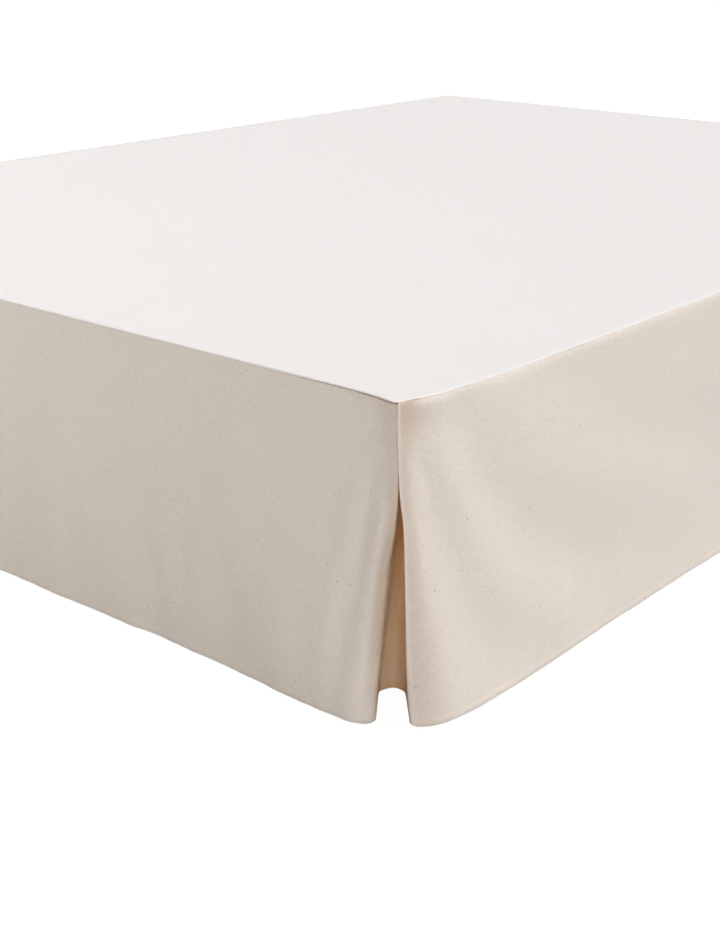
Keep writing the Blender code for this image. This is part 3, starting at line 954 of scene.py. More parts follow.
@dataclass
class PlatformPanel:
    """The flat white cloth on the base: it rolls over into the seams, and its head edge is turned under."""

    planes: SkirtPlanes
    name: str = "platform_sheet"
    thickness: float = 0.8  # mm
    rolls: Pair = (0.5, 1.3)  # mm, the radius of the edge along the sides and the foot
    insets: Pair = (2.95, 0.9)  # mm from the drops' outer faces to the edge
    hem_gap: float = 0.15  # mm between the layers of the head hem
    hem_bends: int = 5
    step: float = 15.0  # mm
    edge_stops: tuple[float, ...] = (0.0, 0.25, 0.6, 1.0, 1.5, 2.4, 4.5, 9.0)  # mm from a rolled edge
    hem_stops: tuple[float, ...] = (0.0, 0.6, 2.0, 5.0, 8.5, 12.0)  # mm from the head edge
    outline_samples: int = 900
    unevenness: float = 0.3  # mm
    swells: tuple[Swell, ...] = (Swell(1.0, (130.0, 160.0), 11.0), Swell(0.5, (55.0, 60.0), 14.0))
    calm: Pair = (2.0, 40.0)  # mm from the edges, over which the unevenness grows
    calm_rise: float = 0.6  # how high the calm edge lies within the unevenness

    def outline(self) -> np.ndarray:
        """Control points along the drops' outer faces at their top, from the left head corner round."""
        half = CANVAS_MIDDLE * MM
        ways = {}
        for hand in Hand:
            form = CornerForm(hand, self.planes)
            section = form.section(0.0)
            foot, _, side = form.parts(0.0)
            foot_fold = section.foot_fold + np.array([0.0, -section.foot_width / 2 - CANVAS_MIDDLE])
            side_fold = section.side_fold + np.array([section.side_width / 2, -CANVAS_MIDDLE])
            folds = form.placed([foot_fold, side_fold])
            ways[hand] = np.vstack([foot - (0.0, half), folds, side + (hand.value * half, 0.0)])
        return with_ends(np.vstack([ways[Hand.LEFT][::-1], ways[Hand.RIGHT][1:]]))

    def sides(self) -> tuple[np.ndarray, np.ndarray, np.ndarray]:
        """The left side from the foot up, the foot from the left, and the right side from the foot up."""
        controls = self.outline()
        corner = len(SIDE_WAVES) + 0.5
        end = len(controls) - 3.0
        left, foot, right = (
            spline_points(controls, np.linspace(start, stop, self.outline_samples))
            for start, stop in ((0.0, corner), (corner, end - corner), (end - corner, end))
        )
        return left[::-1], foot, right

    @staticmethod
    def read(line: np.ndarray, shares: np.ndarray) -> np.ndarray:
        """Points of a line at shares of its length."""
        arc = lengths_along(line)
        return np.column_stack([np.interp(shares, arc / arc[-1], line[:, axis]) for axis in range(2)])

    @staticmethod
    def fall(distance: np.ndarray, radius: float) -> np.ndarray:
        """How far a rounded edge falls at each distance from it, in mm."""
        rest = radius - np.clip(distance, 0.0, radius)
        return radius - np.sqrt(np.maximum(radius**2 - rest**2, 0.0))

    def stops(self, length: float, end: tuple[float, ...]) -> np.ndarray:
        """Shares along one direction of the panel: fine near its two ends, and even between them."""
        start = np.array(self.edge_stops) * MM
        finish = length - np.array(end[::-1]) * MM
        inner = np.linspace(start[-1], finish[0], round(length / MM / self.step))
        return np.concatenate([start[:-1], inner, finish[1:]]) / length

    def patch(self, across: np.ndarray, up: np.ndarray) -> np.ndarray:
        """Plan points inside the outline, which blend its sides, drawn in from the drops' outer faces.

        Args:
            across: The columns, as shares of the width.
            up: The rows, as shares of the length from the foot.

        Returns:
            The plan points, by row and column.
        """
        left, foot, right = self.sides()
        head = np.array([left[-1], right[-1]])
        a, b = across[None, :, None], up[:, None, None]
        plan = (1 - b) * self.read(foot, across)[None] + b * self.read(head, across)[None]
        plan = plan + (1 - a) * self.read(left, up)[:, None] + a * self.read(right, up)[:, None]
        foot_corners = (1 - a) * left[0] + a * right[0]
        head_corners = (1 - a) * left[-1] + a * right[-1]
        plan = plan - (1 - b) * foot_corners - b * head_corners
        centre = np.array([0.0, (self.planes.foot + self.planes.head) / 2])
        half = np.array([PANEL_WIDTH / 2, PANEL_LENGTH / 2])
        drawn = np.broadcast_to(1 - np.array(self.insets) * MM / half, plan.shape).copy()
        drawn[plan[..., 1] > centre[1], 1] = 1.0
        return centre + (plan - centre) * drawn

    def build(self) -> bpy.types.Object:
        """Makes the panel as a thin closed sheet.

        Returns:
            The new object.
        """
        across = self.stops(PANEL_WIDTH, self.edge_stops)
        up = self.stops(PANEL_LENGTH, self.hem_stops)
        plan = self.patch(across, up)
        from_side = np.minimum(across, 1 - across)[None, :] * PANEL_WIDTH / MM
        from_foot = up[:, None] * PANEL_LENGTH / MM
        from_head = (1 - up[:, None]) * PANEL_LENGTH / MM
        fall = np.maximum(self.fall(from_side, self.rolls[0]), self.fall(from_foot, self.rolls[1]))
        x, y = plan[..., 0] / MM, plan[..., 1] / MM
        rise = sum(swell.lift(x, y, 0.0) for swell in self.swells)
        grown = soft_step(np.minimum(from_side, from_foot), *self.calm) * soft_step(from_head, *self.calm)
        uneven = self.unevenness * (rise * grown + (1 - grown) * self.calm_rise)
        depth = self.thickness / 2 + self.unevenness + fall
        grid = np.dstack([plan, self.planes.panel_top + (uneven - depth) * MM])
        sheet = self.hemmed_sheet(grid, across * PANEL_WIDTH, up * PANEL_LENGTH)
        LOG.info("%s: %d faces", self.name, len(sheet.data.polygons))
        return sheet

    def hemmed_sheet(self, grid: np.ndarray, across: np.ndarray, up: np.ndarray) -> bpy.types.Object:
        """The closed sheet, whose rows go on round the head edge and back beneath the panel.

        Args:
            grid: The panel's points, with the head edge in the last row.
            across: Each column's place along the cloth.
            up: Each row's place along the cloth.

        Returns:
            The new object.
        """
        count = len(self.hem_stops)
        layer = (self.thickness + self.hem_gap) * MM
        normal = np.cross(np.gradient(grid, axis=1), np.gradient(grid, axis=0))
        normal /= np.linalg.norm(normal, axis=2, keepdims=True)
        forward = np.array([0.0, 1.0, 0.0])
        angles = np.arange(1, self.hem_bends + 1) / self.hem_bends * math.pi
        bends = [
            grid[-1] + layer / 2 * (forward * math.sin(angle) - normal[-1] * (1 - math.cos(angle)))
            for angle in angles
        ]
        under = [grid[-1 - index] - normal[-1 - index] * layer for index in range(1, count)]
        bend = up[-1] + layer / 2 * angles
        back = bend[-1] + (up[-1] - up[-2 : -1 - count : -1])
        hemmed = np.concatenate([grid, bends, under])
        rows = np.concatenate([up, bend, back])
        return sheet_object(self.name, hemmed, across, rows, self.thickness * MM)

    def flat(self) -> Pair:
        """The size to which the panel was cut, with its head hem."""
        return PANEL_WIDTH, PANEL_LENGTH + HEM_DEPTH


# ----------------------------------------------------------------------------------------------------
# The base and its legs
# ----------------------------------------------------------------------------------------------------


def start_piece(
    name: str, add_primitive: Callable[..., set[str]], stretch: Vector | None = None, **settings: object
) -> bpy.types.Object:
    """Adds a primitive with nothing else selected, and opens it in edit mode at its place and size.

    Args:
        name: The new piece's name.
        add_primitive: The operator that adds it.
        stretch: How much it is drawn out along each axis.
        settings: The operator's own settings.

    Returns:
        The new object, in edit mode.
    """
    bpy.ops.object.select_all(action="DESELECT")
    add_primitive(**settings)
    piece = bpy.context.active_object
    piece.name = name
    piece.data.name = name
    if stretch is not None:
        piece.scale = stretch
    bpy.ops.object.transform_apply(location=True, rotation=True, scale=True)
    bpy.ops.object.mode_set(mode="EDIT")
    return piece


def finish_piece(piece: bpy.types.Object, smooth_angle: float) -> bpy.types.Object:
    """Leaves edit mode and smooths the piece where its faces turn by less than an angle in degrees."""
    bpy.ops.object.mode_set(mode="OBJECT")
    bpy.ops.object.shade_smooth_by_angle(angle=math.radians(smooth_angle))
    LOG.info("%s: %d faces", piece.name, len(piece.data.polygons))
    return piece


def select_parts(piece: bpy.types.Object, kind: str, wanted: Callable[..., bool]) -> None:
    """Selects parts of a piece in edit mode.

    Args:
        piece: The piece.
        kind: EDGE or FACE.
        wanted: Whether an edge or face is to be selected.
    """
    bpy.ops.mesh.select_mode(type=kind)
    bpy.ops.mesh.select_all(action="DESELECT")
    form = bmesh.from_edit_mesh(piece.data)
    for part in form.edges if kind == "EDGE" else form.faces:
        part.select_set(wanted(part))
    form.select_flush_mode()
    bmesh.update_edit_mesh(piece.data)


def rise_of(edge: bmesh.types.BMEdge) -> float:
    """How far an edge rises from one end to the other."""
    return abs(edge.verts[0].co.z - edge.verts[1].co.z)


@dataclass
class BedBase:
    """The plain covered base under the platform panel, with rounded upright corners and rims."""

    node: str = "bed_base"
    name: str = "base_block"
    corner_radius: float = 0.110
    corner_steps: int = 24
    rim_radius: float = 0.008
    rim_steps: int = 5
    smooth_angle: float = 35.0

    def build(self) -> bpy.types.Object:
        """Models the base as a block with bevelled corners and rims.

        Returns:
            The new object.
        """
        low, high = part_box(self.node)
        size, middle = high - low, (high + low) / 2
        cube = bpy.ops.mesh.primitive_cube_add
        base = start_piece(self.name, cube, stretch=size, size=1.0, location=middle)
        select_parts(base, "EDGE", lambda edge: rise_of(edge) > size.z / 2)
        bpy.ops.mesh.bevel(offset=self.corner_radius, segments=self.corner_steps, affect="EDGES")
        select_parts(base, "EDGE", lambda edge: rise_of(edge) < size.z / 2)
        bpy.ops.mesh.bevel(offset=self.rim_radius, segments=self.rim_steps, affect="EDGES")
        bpy.ops.mesh.select_all(action="SELECT")
        bpy.ops.mesh.normals_make_consistent(inside=False)
        bpy.ops.uv.cube_project(cube_size=1.0, correct_aspect=False, scale_to_bounds=False)
        return finish_piece(base, self.smooth_angle)


@dataclass
class Leg:
    """A turned, tapered leg with softened rims."""

    node: str
    name: str
    top_radius: float = 0.026
    foot_radius: float = 0.018
    sides: int = 40
    foot_bevel: float = 0.003
    foot_steps: int = 4
    top_bevel: float = 0.0012
    top_steps: int = 3
    smooth_angle: float = 50.0

    def build(self) -> bpy.types.Object:
        """Models the leg from a cylinder whose foot is drawn in.

        Returns:
            The new object.
        """
        low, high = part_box(self.node)
        middle = (low + high) / 2
        leg = start_piece(
            self.name,
            bpy.ops.mesh.primitive_cylinder_add,
            vertices=self.sides,
            radius=self.top_radius,
            depth=high.z - low.z,
            location=middle,
        )
        select_parts(leg, "FACE", lambda face: face.normal.z < -0.9)
        ratio = self.foot_radius / self.top_radius
        bpy.ops.transform.resize(value=(ratio, ratio, 1.0), center_override=(middle.x, middle.y, low.z))
        near = 0.01 * MM
        select_parts(leg, "EDGE", lambda edge: max(vertex.co.z for vertex in edge.verts) < low.z + near)
        bpy.ops.mesh.bevel(offset=self.foot_bevel, segments=self.foot_steps, affect="EDGES")
        select_parts(leg, "EDGE", lambda edge: min(vertex.co.z for vertex in edge.verts) > high.z - near)
        bpy.ops.mesh.bevel(offset=self.top_bevel, segments=self.top_steps, affect="EDGES")
        return finish_piece(leg, self.smooth_angle)


# ----------------------------------------------------------------------------------------------------
# Finishes
# ----------------------------------------------------------------------------------------------------


@dataclass
class Graph:
    """A node tree being wired."""

    tree: bpy.types.NodeTree

    def add(self, kind: str, inputs: dict | None = None, **settings: object) -> bpy.types.Node:
        """A new node of this type with these settings, and its inputs set by name or number."""
        node = self.tree.nodes.new(kind)
        for key, value in settings.items():
            setattr(node, key, value)
        self.put(node, inputs or {})
        return node

    def put(self, node: bpy.types.Node, inputs: dict) -> None:
        """Sets inputs of a node to numbers or colours, or joins other sockets to them."""
        for key, value in inputs.items():
            if isinstance(value, bpy.types.NodeSocket):
                self.tree.links.new(value, node.inputs[key])
            else:
                node.inputs[key].default_value = value

    def math(self, operation: str, *values: Value) -> bpy.types.NodeSocket:
        """The result of a Math node."""
        return self.add("ShaderNodeMath", dict(enumerate(values)), operation=operation).outputs[0]

    def noise(
        self, place: Value, scale: Value, detail: float = 2.0, roughness: float = 0.5
    ) -> bpy.types.NodeSocket:
        """The value of a Noise Texture."""
        inputs = {"Vector": place, "Scale": scale, "Detail": detail, "Roughness": roughness}
        return self.add("ShaderNodeTexNoise", inputs).outputs["Fac"]

    def split(self, place: Value) -> bpy.types.NodeOutputs:
        """The three axes of a place."""
        return self.add("ShaderNodeSeparateXYZ", {0: place}).outputs

    def scaled(self, place: Value, x: Value, y: Value, z: Value = 1.0) -> bpy.types.NodeSocket:
        """The place with each axis multiplied by a number or a socket."""
        factors = self.add("ShaderNodeCombineXYZ", {0: x, 1: y, 2: z}).outputs[0]
        return self.add("ShaderNodeVectorMath", {0: place, 1: factors}, operation="MULTIPLY").outputs[0]

    def between(self, value: Value, low: float, high: float) -> bpy.types.NodeSocket:
        """The value from low to high as 0 to 1, smoothly."""
        inputs = {"Value": value, "From Min": low, "From Max": high}
        return self.add("ShaderNodeMapRange", inputs, interpolation_type="SMOOTHSTEP").outputs[0]

    def share(self, value: Value, limits: Pair, strength: float) -> bpy.types.NodeSocket:
        """The value between two limits as 0 to this strength."""
        return self.math("MULTIPLY", self.between(value, *limits), strength)

    def mix(self, factor: Value, first: Value, second: Value, blend: str = "MIX") -> bpy.types.NodeSocket:
        """The mix of two colours, which a Mix node takes at its sockets 6 and 7 and gives at 2."""
        inputs = {0: factor, 6: first, 7: second}
        return self.add("ShaderNodeMix", inputs, data_type="RGBA", blend_type=blend).outputs[2]

    def bump(self, height: Value, strength: float, distance: float) -> bpy.types.NodeSocket:
        """The normal over a height, whose range is this distance in metres."""
        inputs = {"Height": height, "Strength": strength, "Distance": distance}
        return self.add("ShaderNodeBump", inputs).outputs[0]


def opaque(colour: Colour) -> tuple[float, float, float, float]:
    """The colour with a full alpha."""
    return (*colour, 1.0)


def new_group(
    name: str, inputs: dict[str, str], outputs: dict[str, str]
) -> tuple[Graph, bpy.types.NodeOutputs, bpy.types.Node]:
    """A new shader node group.

    Args:
        name: The group's name.
        inputs: The socket types of its inputs by their names.
        outputs: The socket types of its outputs by their names.

    Returns:
        The graph inside it, the sockets that give its inputs, and the node that takes its outputs.
    """
    tree = bpy.data.node_groups.new(name, "ShaderNodeTree")
    for direction, sockets in (("INPUT", inputs), ("OUTPUT", outputs)):
        for key, kind in sockets.items():
            tree.interface.new_socket(name=key, in_out=direction, socket_type=kind)
    graph = Graph(tree)
    return graph, graph.add("NodeGroupInput").outputs, graph.add("NodeGroupOutput")


FLOAT, VECTOR = "NodeSocketFloat", "NodeSocketVector"


@dataclass(frozen=True)
class PlainWeave:
    """The group that raises warp and weft threads over and under each other."""

    wander_per_m: float = 55.0  # swells in the run of the threads
    wander: float = 0.0009  # metres that a thread strays
    edge: float = 0.2  # how softly one thread passes over the other
    slubs_per_thread: float = 0.6
    slubs_per_m: Pair = (140.0, 110.0)  # along a weft and a warp thread
    speckles_per_m: float = 520.0
    speckle_height: float = 0.8
    speckle_strength: float = 1.7

    def build(self) -> bpy.types.NodeTree:
        """Makes the group, which gives the threads' height and tone.

        Returns:
            The group.
        """
        graph, given, made = new_group(
            "plain_weave",
            {"Cloth place": VECTOR, "Warp per m": FLOAT, "Weft per m": FLOAT},
            {"Height": FLOAT, "Tone": FLOAT},
        )
        place, warps, wefts = given["Cloth place"], given["Warp per m"], given["Weft per m"]
        wander = graph.add("ShaderNodeTexNoise", {"Vector": place, "Scale": self.wander_per_m})
        stray = {0: wander.outputs["Color"], 1: (self.wander, self.wander, 0.0), 2: place}
        bent = graph.split(graph.add("ShaderNodeVectorMath", stray, operation="MULTIPLY_ADD").outputs[0])
        waves = []
        for axis, threads in enumerate((warps, wefts)):
            turns = graph.math("MULTIPLY", graph.math("MULTIPLY", bent[axis], threads), math.pi)
            waves.append(graph.math("SINE", turns))
        product = graph.math("MULTIPLY", *waves)
        softened = graph.math("ADD", graph.math("ABSOLUTE", product), self.edge)
        warp_up = graph.math("MULTIPLY_ADD", graph.math("DIVIDE", product, softened), 0.5, 0.5)
        weft_up = graph.math("SUBTRACT", 1.0, warp_up)
        heights = [
            graph.math("MULTIPLY", graph.math("ABSOLUTE", wave), up)
            for wave, up in zip(waves, (warp_up, weft_up))
        ]
        along_weft, along_warp = self.slubs_per_m
        warp_slubs = graph.scaled(place, graph.math("MULTIPLY", warps, self.slubs_per_thread), along_warp)
        weft_slubs = graph.scaled(place, along_weft, graph.math("MULTIPLY", wefts, self.slubs_per_thread))
        warp_tone, weft_tone = (graph.noise(slubs, 1.0, 1.0, 0.4) for slubs in (warp_slubs, weft_slubs))
        tones = {0: warp_up, 2: weft_tone, 3: warp_tone}
        threads = graph.add("ShaderNodeMix", tones, data_type="FLOAT").outputs[0]
        speckle = graph.noise(graph.scaled(place, 1.0, self.speckle_height), self.speckles_per_m, 3.0, 0.65)
        speckle = graph.math("SUBTRACT", speckle, 0.5)
        tone = graph.math("MULTIPLY_ADD", speckle, self.speckle_strength, threads)
        graph.put(made, {"Height": graph.math("MAXIMUM", *heights), "Tone": tone})
        return graph.tree


@dataclass(frozen=True)
class UnevenTone:
    """The group that gives cloth or wood its slow changes of tone."""

    cloud_detail: float = 3.0
    streak_detail: float = 2.0
    streak_height: float = 0.08  # of the swells' width, so that a streak is long

    def build(self) -> bpy.types.NodeTree:
        """Makes the group, which gives clouds and streaks.

        Returns:
            The group.
        """
        graph, given, made = new_group(
            "uneven_tone",
            {"Place": VECTOR, "Clouds per m": FLOAT, "Streaks per m": FLOAT},
            {"Clouds": FLOAT, "Streaks": FLOAT},
        )
        clouds = graph.noise(given["Place"], given["Clouds per m"], self.cloud_detail)
        drawn_out = graph.scaled(given["Place"], 1.0, self.streak_height)
        streaks = graph.noise(drawn_out, given["Streaks per m"], self.streak_detail)
        graph.put(made, {"Clouds": clouds, "Streaks": streaks})
        return graph.tree


@dataclass(frozen=True)
class SeedFlecks:
    """The group that scatters small flecks of seed husk over cloth."""

    height: float = 0.7
    kept: Pair = (0.55, 1.0)  # which cells have a fleck, by their own number
    size: float = 0.12  # of a cell, at most
    edge: Pair = (0.0, 0.04)

    def build(self) -> bpy.types.NodeTree:
        """Makes the group, which gives the flecks' mask.

        Returns:
            The group.
        """
        graph, given, made = new_group(
            "seed_flecks", {"Cloth place": VECTOR, "Cells per m": FLOAT}, {"Mask": FLOAT}
        )
        place = graph.scaled(given["Cloth place"], 1.0, self.height)
        inputs = {"Vector": place, "Scale": given["Cells per m"], "Randomness": 1.0}
        cells = graph.add("ShaderNodeTexVoronoi", inputs, feature="F1")
        chance = graph.add("ShaderNodeSeparateColor", {0: cells.outputs["Color"]}).outputs
        size = graph.share(chance[0], self.kept, self.size)
        inside = graph.math("SUBTRACT", size, cells.outputs["Distance"])
        graph.put(made, {"Mask": graph.math("MULTIPLY", graph.between(inside, *self.edge), chance[1])})
        return graph.tree


@dataclass(frozen=True)
class ShaderGroups:
    """The groups that several finishes share."""

    weave: bpy.types.NodeTree
    tone: bpy.types.NodeTree
    flecks: bpy.types.NodeTree

    @classmethod
    def build(cls) -> "ShaderGroups":
        """Makes each group once."""
        return cls(PlainWeave().build(), UnevenTone().build(), SeedFlecks().build())


def placed_group(graph: Graph, tree: bpy.types.NodeTree, inputs: dict) -> bpy.types.NodeOutputs:
    """The outputs of a group that is placed in a material, with its inputs set by name."""
    return graph.add("ShaderNodeGroup", inputs, node_tree=tree).outputs


def new_material(name: str) -> tuple[bpy.types.Material, Graph, bpy.types.Node]:
    """A new material with its graph and its shader."""
    material = bpy.data.materials.new(name)
    material.use_nodes = True
    return material, Graph(material.node_tree), material.node_tree.nodes["Principled BSDF"]


@dataclass(frozen=True)
class ClothFinish:
    """A plainly woven cloth, by the look of its threads."""

    name: str
    colour: Colour
    slub: Colour
    # The next colour is painted shade in the low places between the threads
    thread_gap_shade: Colour
    cloud: Colour
    threads_per_m: Pair
    fleck: Colour
    fleck_cells_per_m: float
    fleck_strength: float
    slub_strength: float
    cloud_strength: float
    bump: float  # metres between the top of a thread and the gap beside it
    pleat_shade_tint: Colour = (1.0, 1.0, 1.0)  # painted shade inside a pleat, multiplied into the colour
    fold_shade_tint: Colour = (1.0, 1.0, 1.0)  # painted shade beside a fold, multiplied into the colour
    translucency: float = 0.0  # share of the light that goes through each face
    lit_through: Colour = (1.0, 1.0, 1.0)
    clouds_per_m: float = 9.0
    streaks_per_m: float = 120.0
    slub_limits: Pair = (0.32, 0.80)  # of the threads' tone
    cloud_limits: Pair = (0.35, 0.7)
    streak_limits: Pair = (0.45, 0.75)
    thread_gap_shade_limits: Pair = (0.55, 0.15)  # of the threads' height: painted shade where it is low, between the threads
    thread_gap_shade_strength: float = 0.5
    roughness: float = 0.92
    specular: float = 0.25
    sheen: float = 0.08
    sheen_roughness: float = 0.5
    bump_strength: float = 0.7

    def build(self, groups: ShaderGroups) -> bpy.types.Material:
        """Makes the material.

        Args:
            groups: The shared shader groups.

        Returns:
            The material, which reads the piece's own UV map in metres.
        """
        material, graph, shader = new_material(self.name)
        place = graph.add("ShaderNodeTexCoord").outputs["UV"]
        warp, weft = self.threads_per_m
        threads = {"Cloth place": place, "Warp per m": warp, "Weft per m": weft}
        weave = placed_group(graph, groups.weave, threads)
        swells = {"Place": place, "Clouds per m": self.clouds_per_m, "Streaks per m": self.streaks_per_m}
        tone = placed_group(graph, groups.tone, swells)
        cells = {"Cloth place": place, "Cells per m": self.fleck_cells_per_m}
        flecks = placed_group(graph, groups.flecks, cells)
        colour = opaque(self.colour)
        # The last of these mixes paints shade between the threads
        for value, limits, strength, other in (
            (weave["Tone"], self.slub_limits, self.slub_strength, self.slub),
            (tone["Clouds"], self.cloud_limits, self.cloud_strength, self.cloud),
            (tone["Streaks"], self.streak_limits, self.cloud_strength, self.cloud),
            (weave["Height"], self.thread_gap_shade_limits, self.thread_gap_shade_strength, self.thread_gap_shade),
        ):
            colour = graph.mix(graph.share(value, limits, strength), colour, opaque(other))
        # Painted shade: the pleats' and the folds' marks multiply the colour by their tints
        for mark, tint in ((PLEAT_SHADE_MARK, self.pleat_shade_tint), (FOLD_SHADE_MARK, self.fold_shade_tint)):
            marked = graph.add("ShaderNodeAttribute", attribute_name=mark).outputs["Fac"]
            colour = graph.mix(marked, colour, graph.mix(1.0, colour, opaque(tint), "MULTIPLY"))
        flecked = graph.math("MULTIPLY", flecks["Mask"], self.fleck_strength)
        look = {
            "Base Color": graph.mix(flecked, colour, opaque(self.fleck)),
            "Roughness": self.roughness,
            "Specular IOR Level": self.specular,
            "Sheen Weight": self.sheen,
            "Sheen Roughness": self.sheen_roughness,
            "Normal": graph.bump(weave["Height"], self.bump_strength, self.bump),
        }
        graph.put(shader, look)
        if self.translucency > 0:
            self.let_light_through(graph, shader)
        return material

    def let_light_through(self, graph: Graph, shader: bpy.types.Node) -> None:
        """Mixes a warm light from behind into the cloth."""
        through = graph.add("ShaderNodeBsdfTranslucent", {"Color": opaque(self.lit_through)})
        mixed = {0: self.translucency, 1: shader.outputs[0], 2: through.outputs[0]}
        surface = graph.add("ShaderNodeMixShader", mixed).outputs[0]
        graph.put(graph.tree.nodes["Material Output"], {"Surface": surface})


CANVAS = ClothFinish(
    name="natural_canvas",
    colour=(0.96, 0.925, 0.885),
    slub=(0.80, 0.735, 0.665),
    thread_gap_shade=(0.62, 0.54, 0.46),
    cloud=(0.89, 0.835, 0.785),
    # Painted shade tints, inside the pleats and beside the folds
    pleat_shade_tint=(1.0, 0.66, 0.33),
    fold_shade_tint=(0.70, 0.60, 0.52),
    translucency=0.42,
    lit_through=(0.98, 0.86, 0.70),
    threads_per_m=(1150.0, 1050.0),
    fleck=(0.20, 0.15, 0.10),
    fleck_cells_per_m=125.0,
    fleck_strength=0.95,
    slub_strength=0.95,
    cloud_strength=0.16,
    bump=0.00025,
)
PLATFORM_CLOTH = ClothFinish(
    name="platform_cloth",
    colour=(0.82, 0.78, 0.75),
    slub=(0.785, 0.745, 0.71),
    thread_gap_shade=(0.68, 0.645, 0.61),
    cloud=(0.78, 0.745, 0.71),
    threads_per_m=(1500.0, 1500.0),
    fleck=(0.55, 0.50, 0.45),
    fleck_cells_per_m=30.0,
    fleck_strength=0.2,
    slub_strength=0.25,
    cloud_strength=0.12,
    bump=0.0001,
)
BASE_COVER = ClothFinish(
    name="base_cover",
    colour=(0.55, 0.53, 0.50),
    slub=(0.48, 0.46, 0.43),
    thread_gap_shade=(0.30, 0.285, 0.265),
    cloud=(0.50, 0.48, 0.455),
    threads_per_m=(900.0, 900.0),
    fleck=(0.25, 0.23, 0.21),
    fleck_cells_per_m=40.0,
    fleck_strength=0.2,
    slub_strength=0.5,
    cloud_strength=0.25,
    bump=0.0002,
)


@dataclass(frozen=True)
class TurnedWood:
    """Stained wood with its grain along the leg."""

    name: str = "stained_wood"
    light: Colour = (0.34, 0.20, 0.115)
    dark: Colour = (0.17, 0.09, 0.045)
    worn: Colour = (0.42, 0.28, 0.18)
    rings_per_m: float = 160.0
    ring_stretch: float = 0.06  # along the leg, where a small number draws the pattern out
    pores_per_m: float = 900.0
    pore_stretch: float = 0.03
    clouds_per_m: float = 14.0
    streaks_per_m: float = 60.0
    ring_limits: Pair = (0.35, 0.68)
    pore_limits: Pair = (0.62, 0.8)
    pore_strength: float = 0.6
    cloud_strength: float = 0.3
    scuff_limits: Pair = (0.012, 0.0)  # metres above the floor
    scuff_strength: float = 0.5
    roughness: float = 0.30
    ring_roughness: float = 0.25
    bump_strength: float = 0.4
    bump: float = 0.0002  # metres

    def build(self, groups: ShaderGroups) -> bpy.types.Material:
        """Makes the material.

        Args:
            groups: The shared shader groups.

        Returns:
            The material, which reads Object coordinates.
        """
        material, graph, shader = new_material(self.name)
        place = graph.add("ShaderNodeTexCoord").outputs["Object"]
        rings = graph.noise(graph.scaled(place, 1.0, 1.0, self.ring_stretch), self.rings_per_m, 4.0, 0.6)
        pores = graph.noise(graph.scaled(place, 1.0, 1.0, self.pore_stretch), self.pores_per_m, 2.0, 0.6)
        swells = {"Place": place, "Clouds per m": self.clouds_per_m, "Streaks per m": self.streaks_per_m}
        clouds = placed_group(graph, groups.tone, swells)["Clouds"]
        scuffed = graph.share(graph.split(place)[2], self.scuff_limits, self.scuff_strength)
        dark = opaque(self.dark)
        colour = graph.mix(graph.between(rings, *self.ring_limits), dark, opaque(self.light))
        colour = graph.mix(graph.share(pores, self.pore_limits, self.pore_strength), colour, dark)
        colour = graph.mix(graph.math("MULTIPLY", clouds, self.cloud_strength), colour, dark)
        look = {
            "Base Color": graph.mix(graph.math("MULTIPLY", scuffed, clouds), colour, opaque(self.worn)),
            "Roughness": graph.math("MULTIPLY_ADD", rings, self.ring_roughness, self.roughness),
            "Normal": graph.bump(pores, self.bump_strength, self.bump),
        }
        graph.put(shader, look)
        return material


# ----------------------------------------------------------------------------------------------------
# The studio
# ----------------------------------------------------------------------------------------------------


@dataclass(frozen=True)
class SoftSun:
    """A wide, distant light, so that the floor and the bed are lit alike."""

    name: str
    direction: tuple[float, float, float]
    spread: float  # degrees across
    strength: float  # of a white surface that faces it
    colour: Colour

    def build(self) -> bpy.types.Object:
        """Hangs the light in its direction from the bed."""
        data = bpy.data.lights.new(self.name, "SUN")
        data.angle = math.radians(self.spread)
        data.energy = self.strength * math.pi
        data.color = self.colour
        away = 5.0
        return hang_light(data, Vector(self.direction).normalized() * away, Vector(self.direction))


@dataclass(frozen=True)
class SoftPanel:
    """A square lamp with a wide, even face, turned to its target."""

    name: str
    place: tuple[float, float, float]
    target: tuple[float, float, float]
    size: float
    watts: float

    def build(self) -> bpy.types.Object:
        """Hangs the lamp at its place."""
        data = bpy.data.lights.new(self.name, "AREA")
        data.shape = "SQUARE"
        data.size = self.size
        data.energy = self.watts
        return hang_light(data, Vector(self.place), Vector(self.place) - Vector(self.target))


def hang_light(data: bpy.types.Light, place: Vector, towards: Vector) -> bpy.types.Object:
    """Puts a light at its place.

    Args:
        data: The light.
        place: Where it hangs.
        towards: The direction to it from what it lights.

    Returns:
        The light's object.
    """
    light = bpy.data.objects.new(data.name, data)
    bpy.context.scene.collection.objects.link(light)
    light.location = place
    light.rotation_mode = "QUATERNION"
    light.rotation_quaternion = towards.to_track_quat("Z", "Y")
    return light


@dataclass(frozen=True)
class PaleFloor:
    """A wide floor that looks almost white and throws back a soft light."""

    size: float = 60.0
    bounce: float = 0.56  # its colour for the light that it throws back
    seen: float = 0.12  # how much of that colour the camera sees
    glow: float = 0.95

    def build(self) -> bpy.types.Object:
        """Makes the floor at z = 0.

        Returns:
            The new object.
        """
        bpy.ops.object.select_all(action="DESELECT")
        bpy.ops.mesh.primitive_plane_add(size=self.size)
        floor = bpy.context.active_object
        floor.name = "studio_floor"
        material, graph, _ = new_material("pale_floor")
        graph.tree.nodes.clear()
        matt, shown = (
            graph.add("ShaderNodeBsdfDiffuse", {"Color": (grey, grey, grey, 1.0)}).outputs[0]
            for grey in (self.bounce, self.seen)
        )
        white = {"Color": (1.0, 1.0, 1.0, 1.0), "Strength": self.glow}
        glow = graph.add("ShaderNodeEmission", white).outputs[0]
        lit = graph.add("ShaderNodeAddShader", {0: shown, 1: glow}).outputs[0]
        to_camera = graph.add("ShaderNodeLightPath").outputs["Is Camera Ray"]
        surface = graph.add("ShaderNodeMixShader", {0: to_camera, 1: matt, 2: lit}).outputs[0]
        graph.add("ShaderNodeOutputMaterial", {"Surface": surface})
        floor.data.materials.append(material)
        return floor


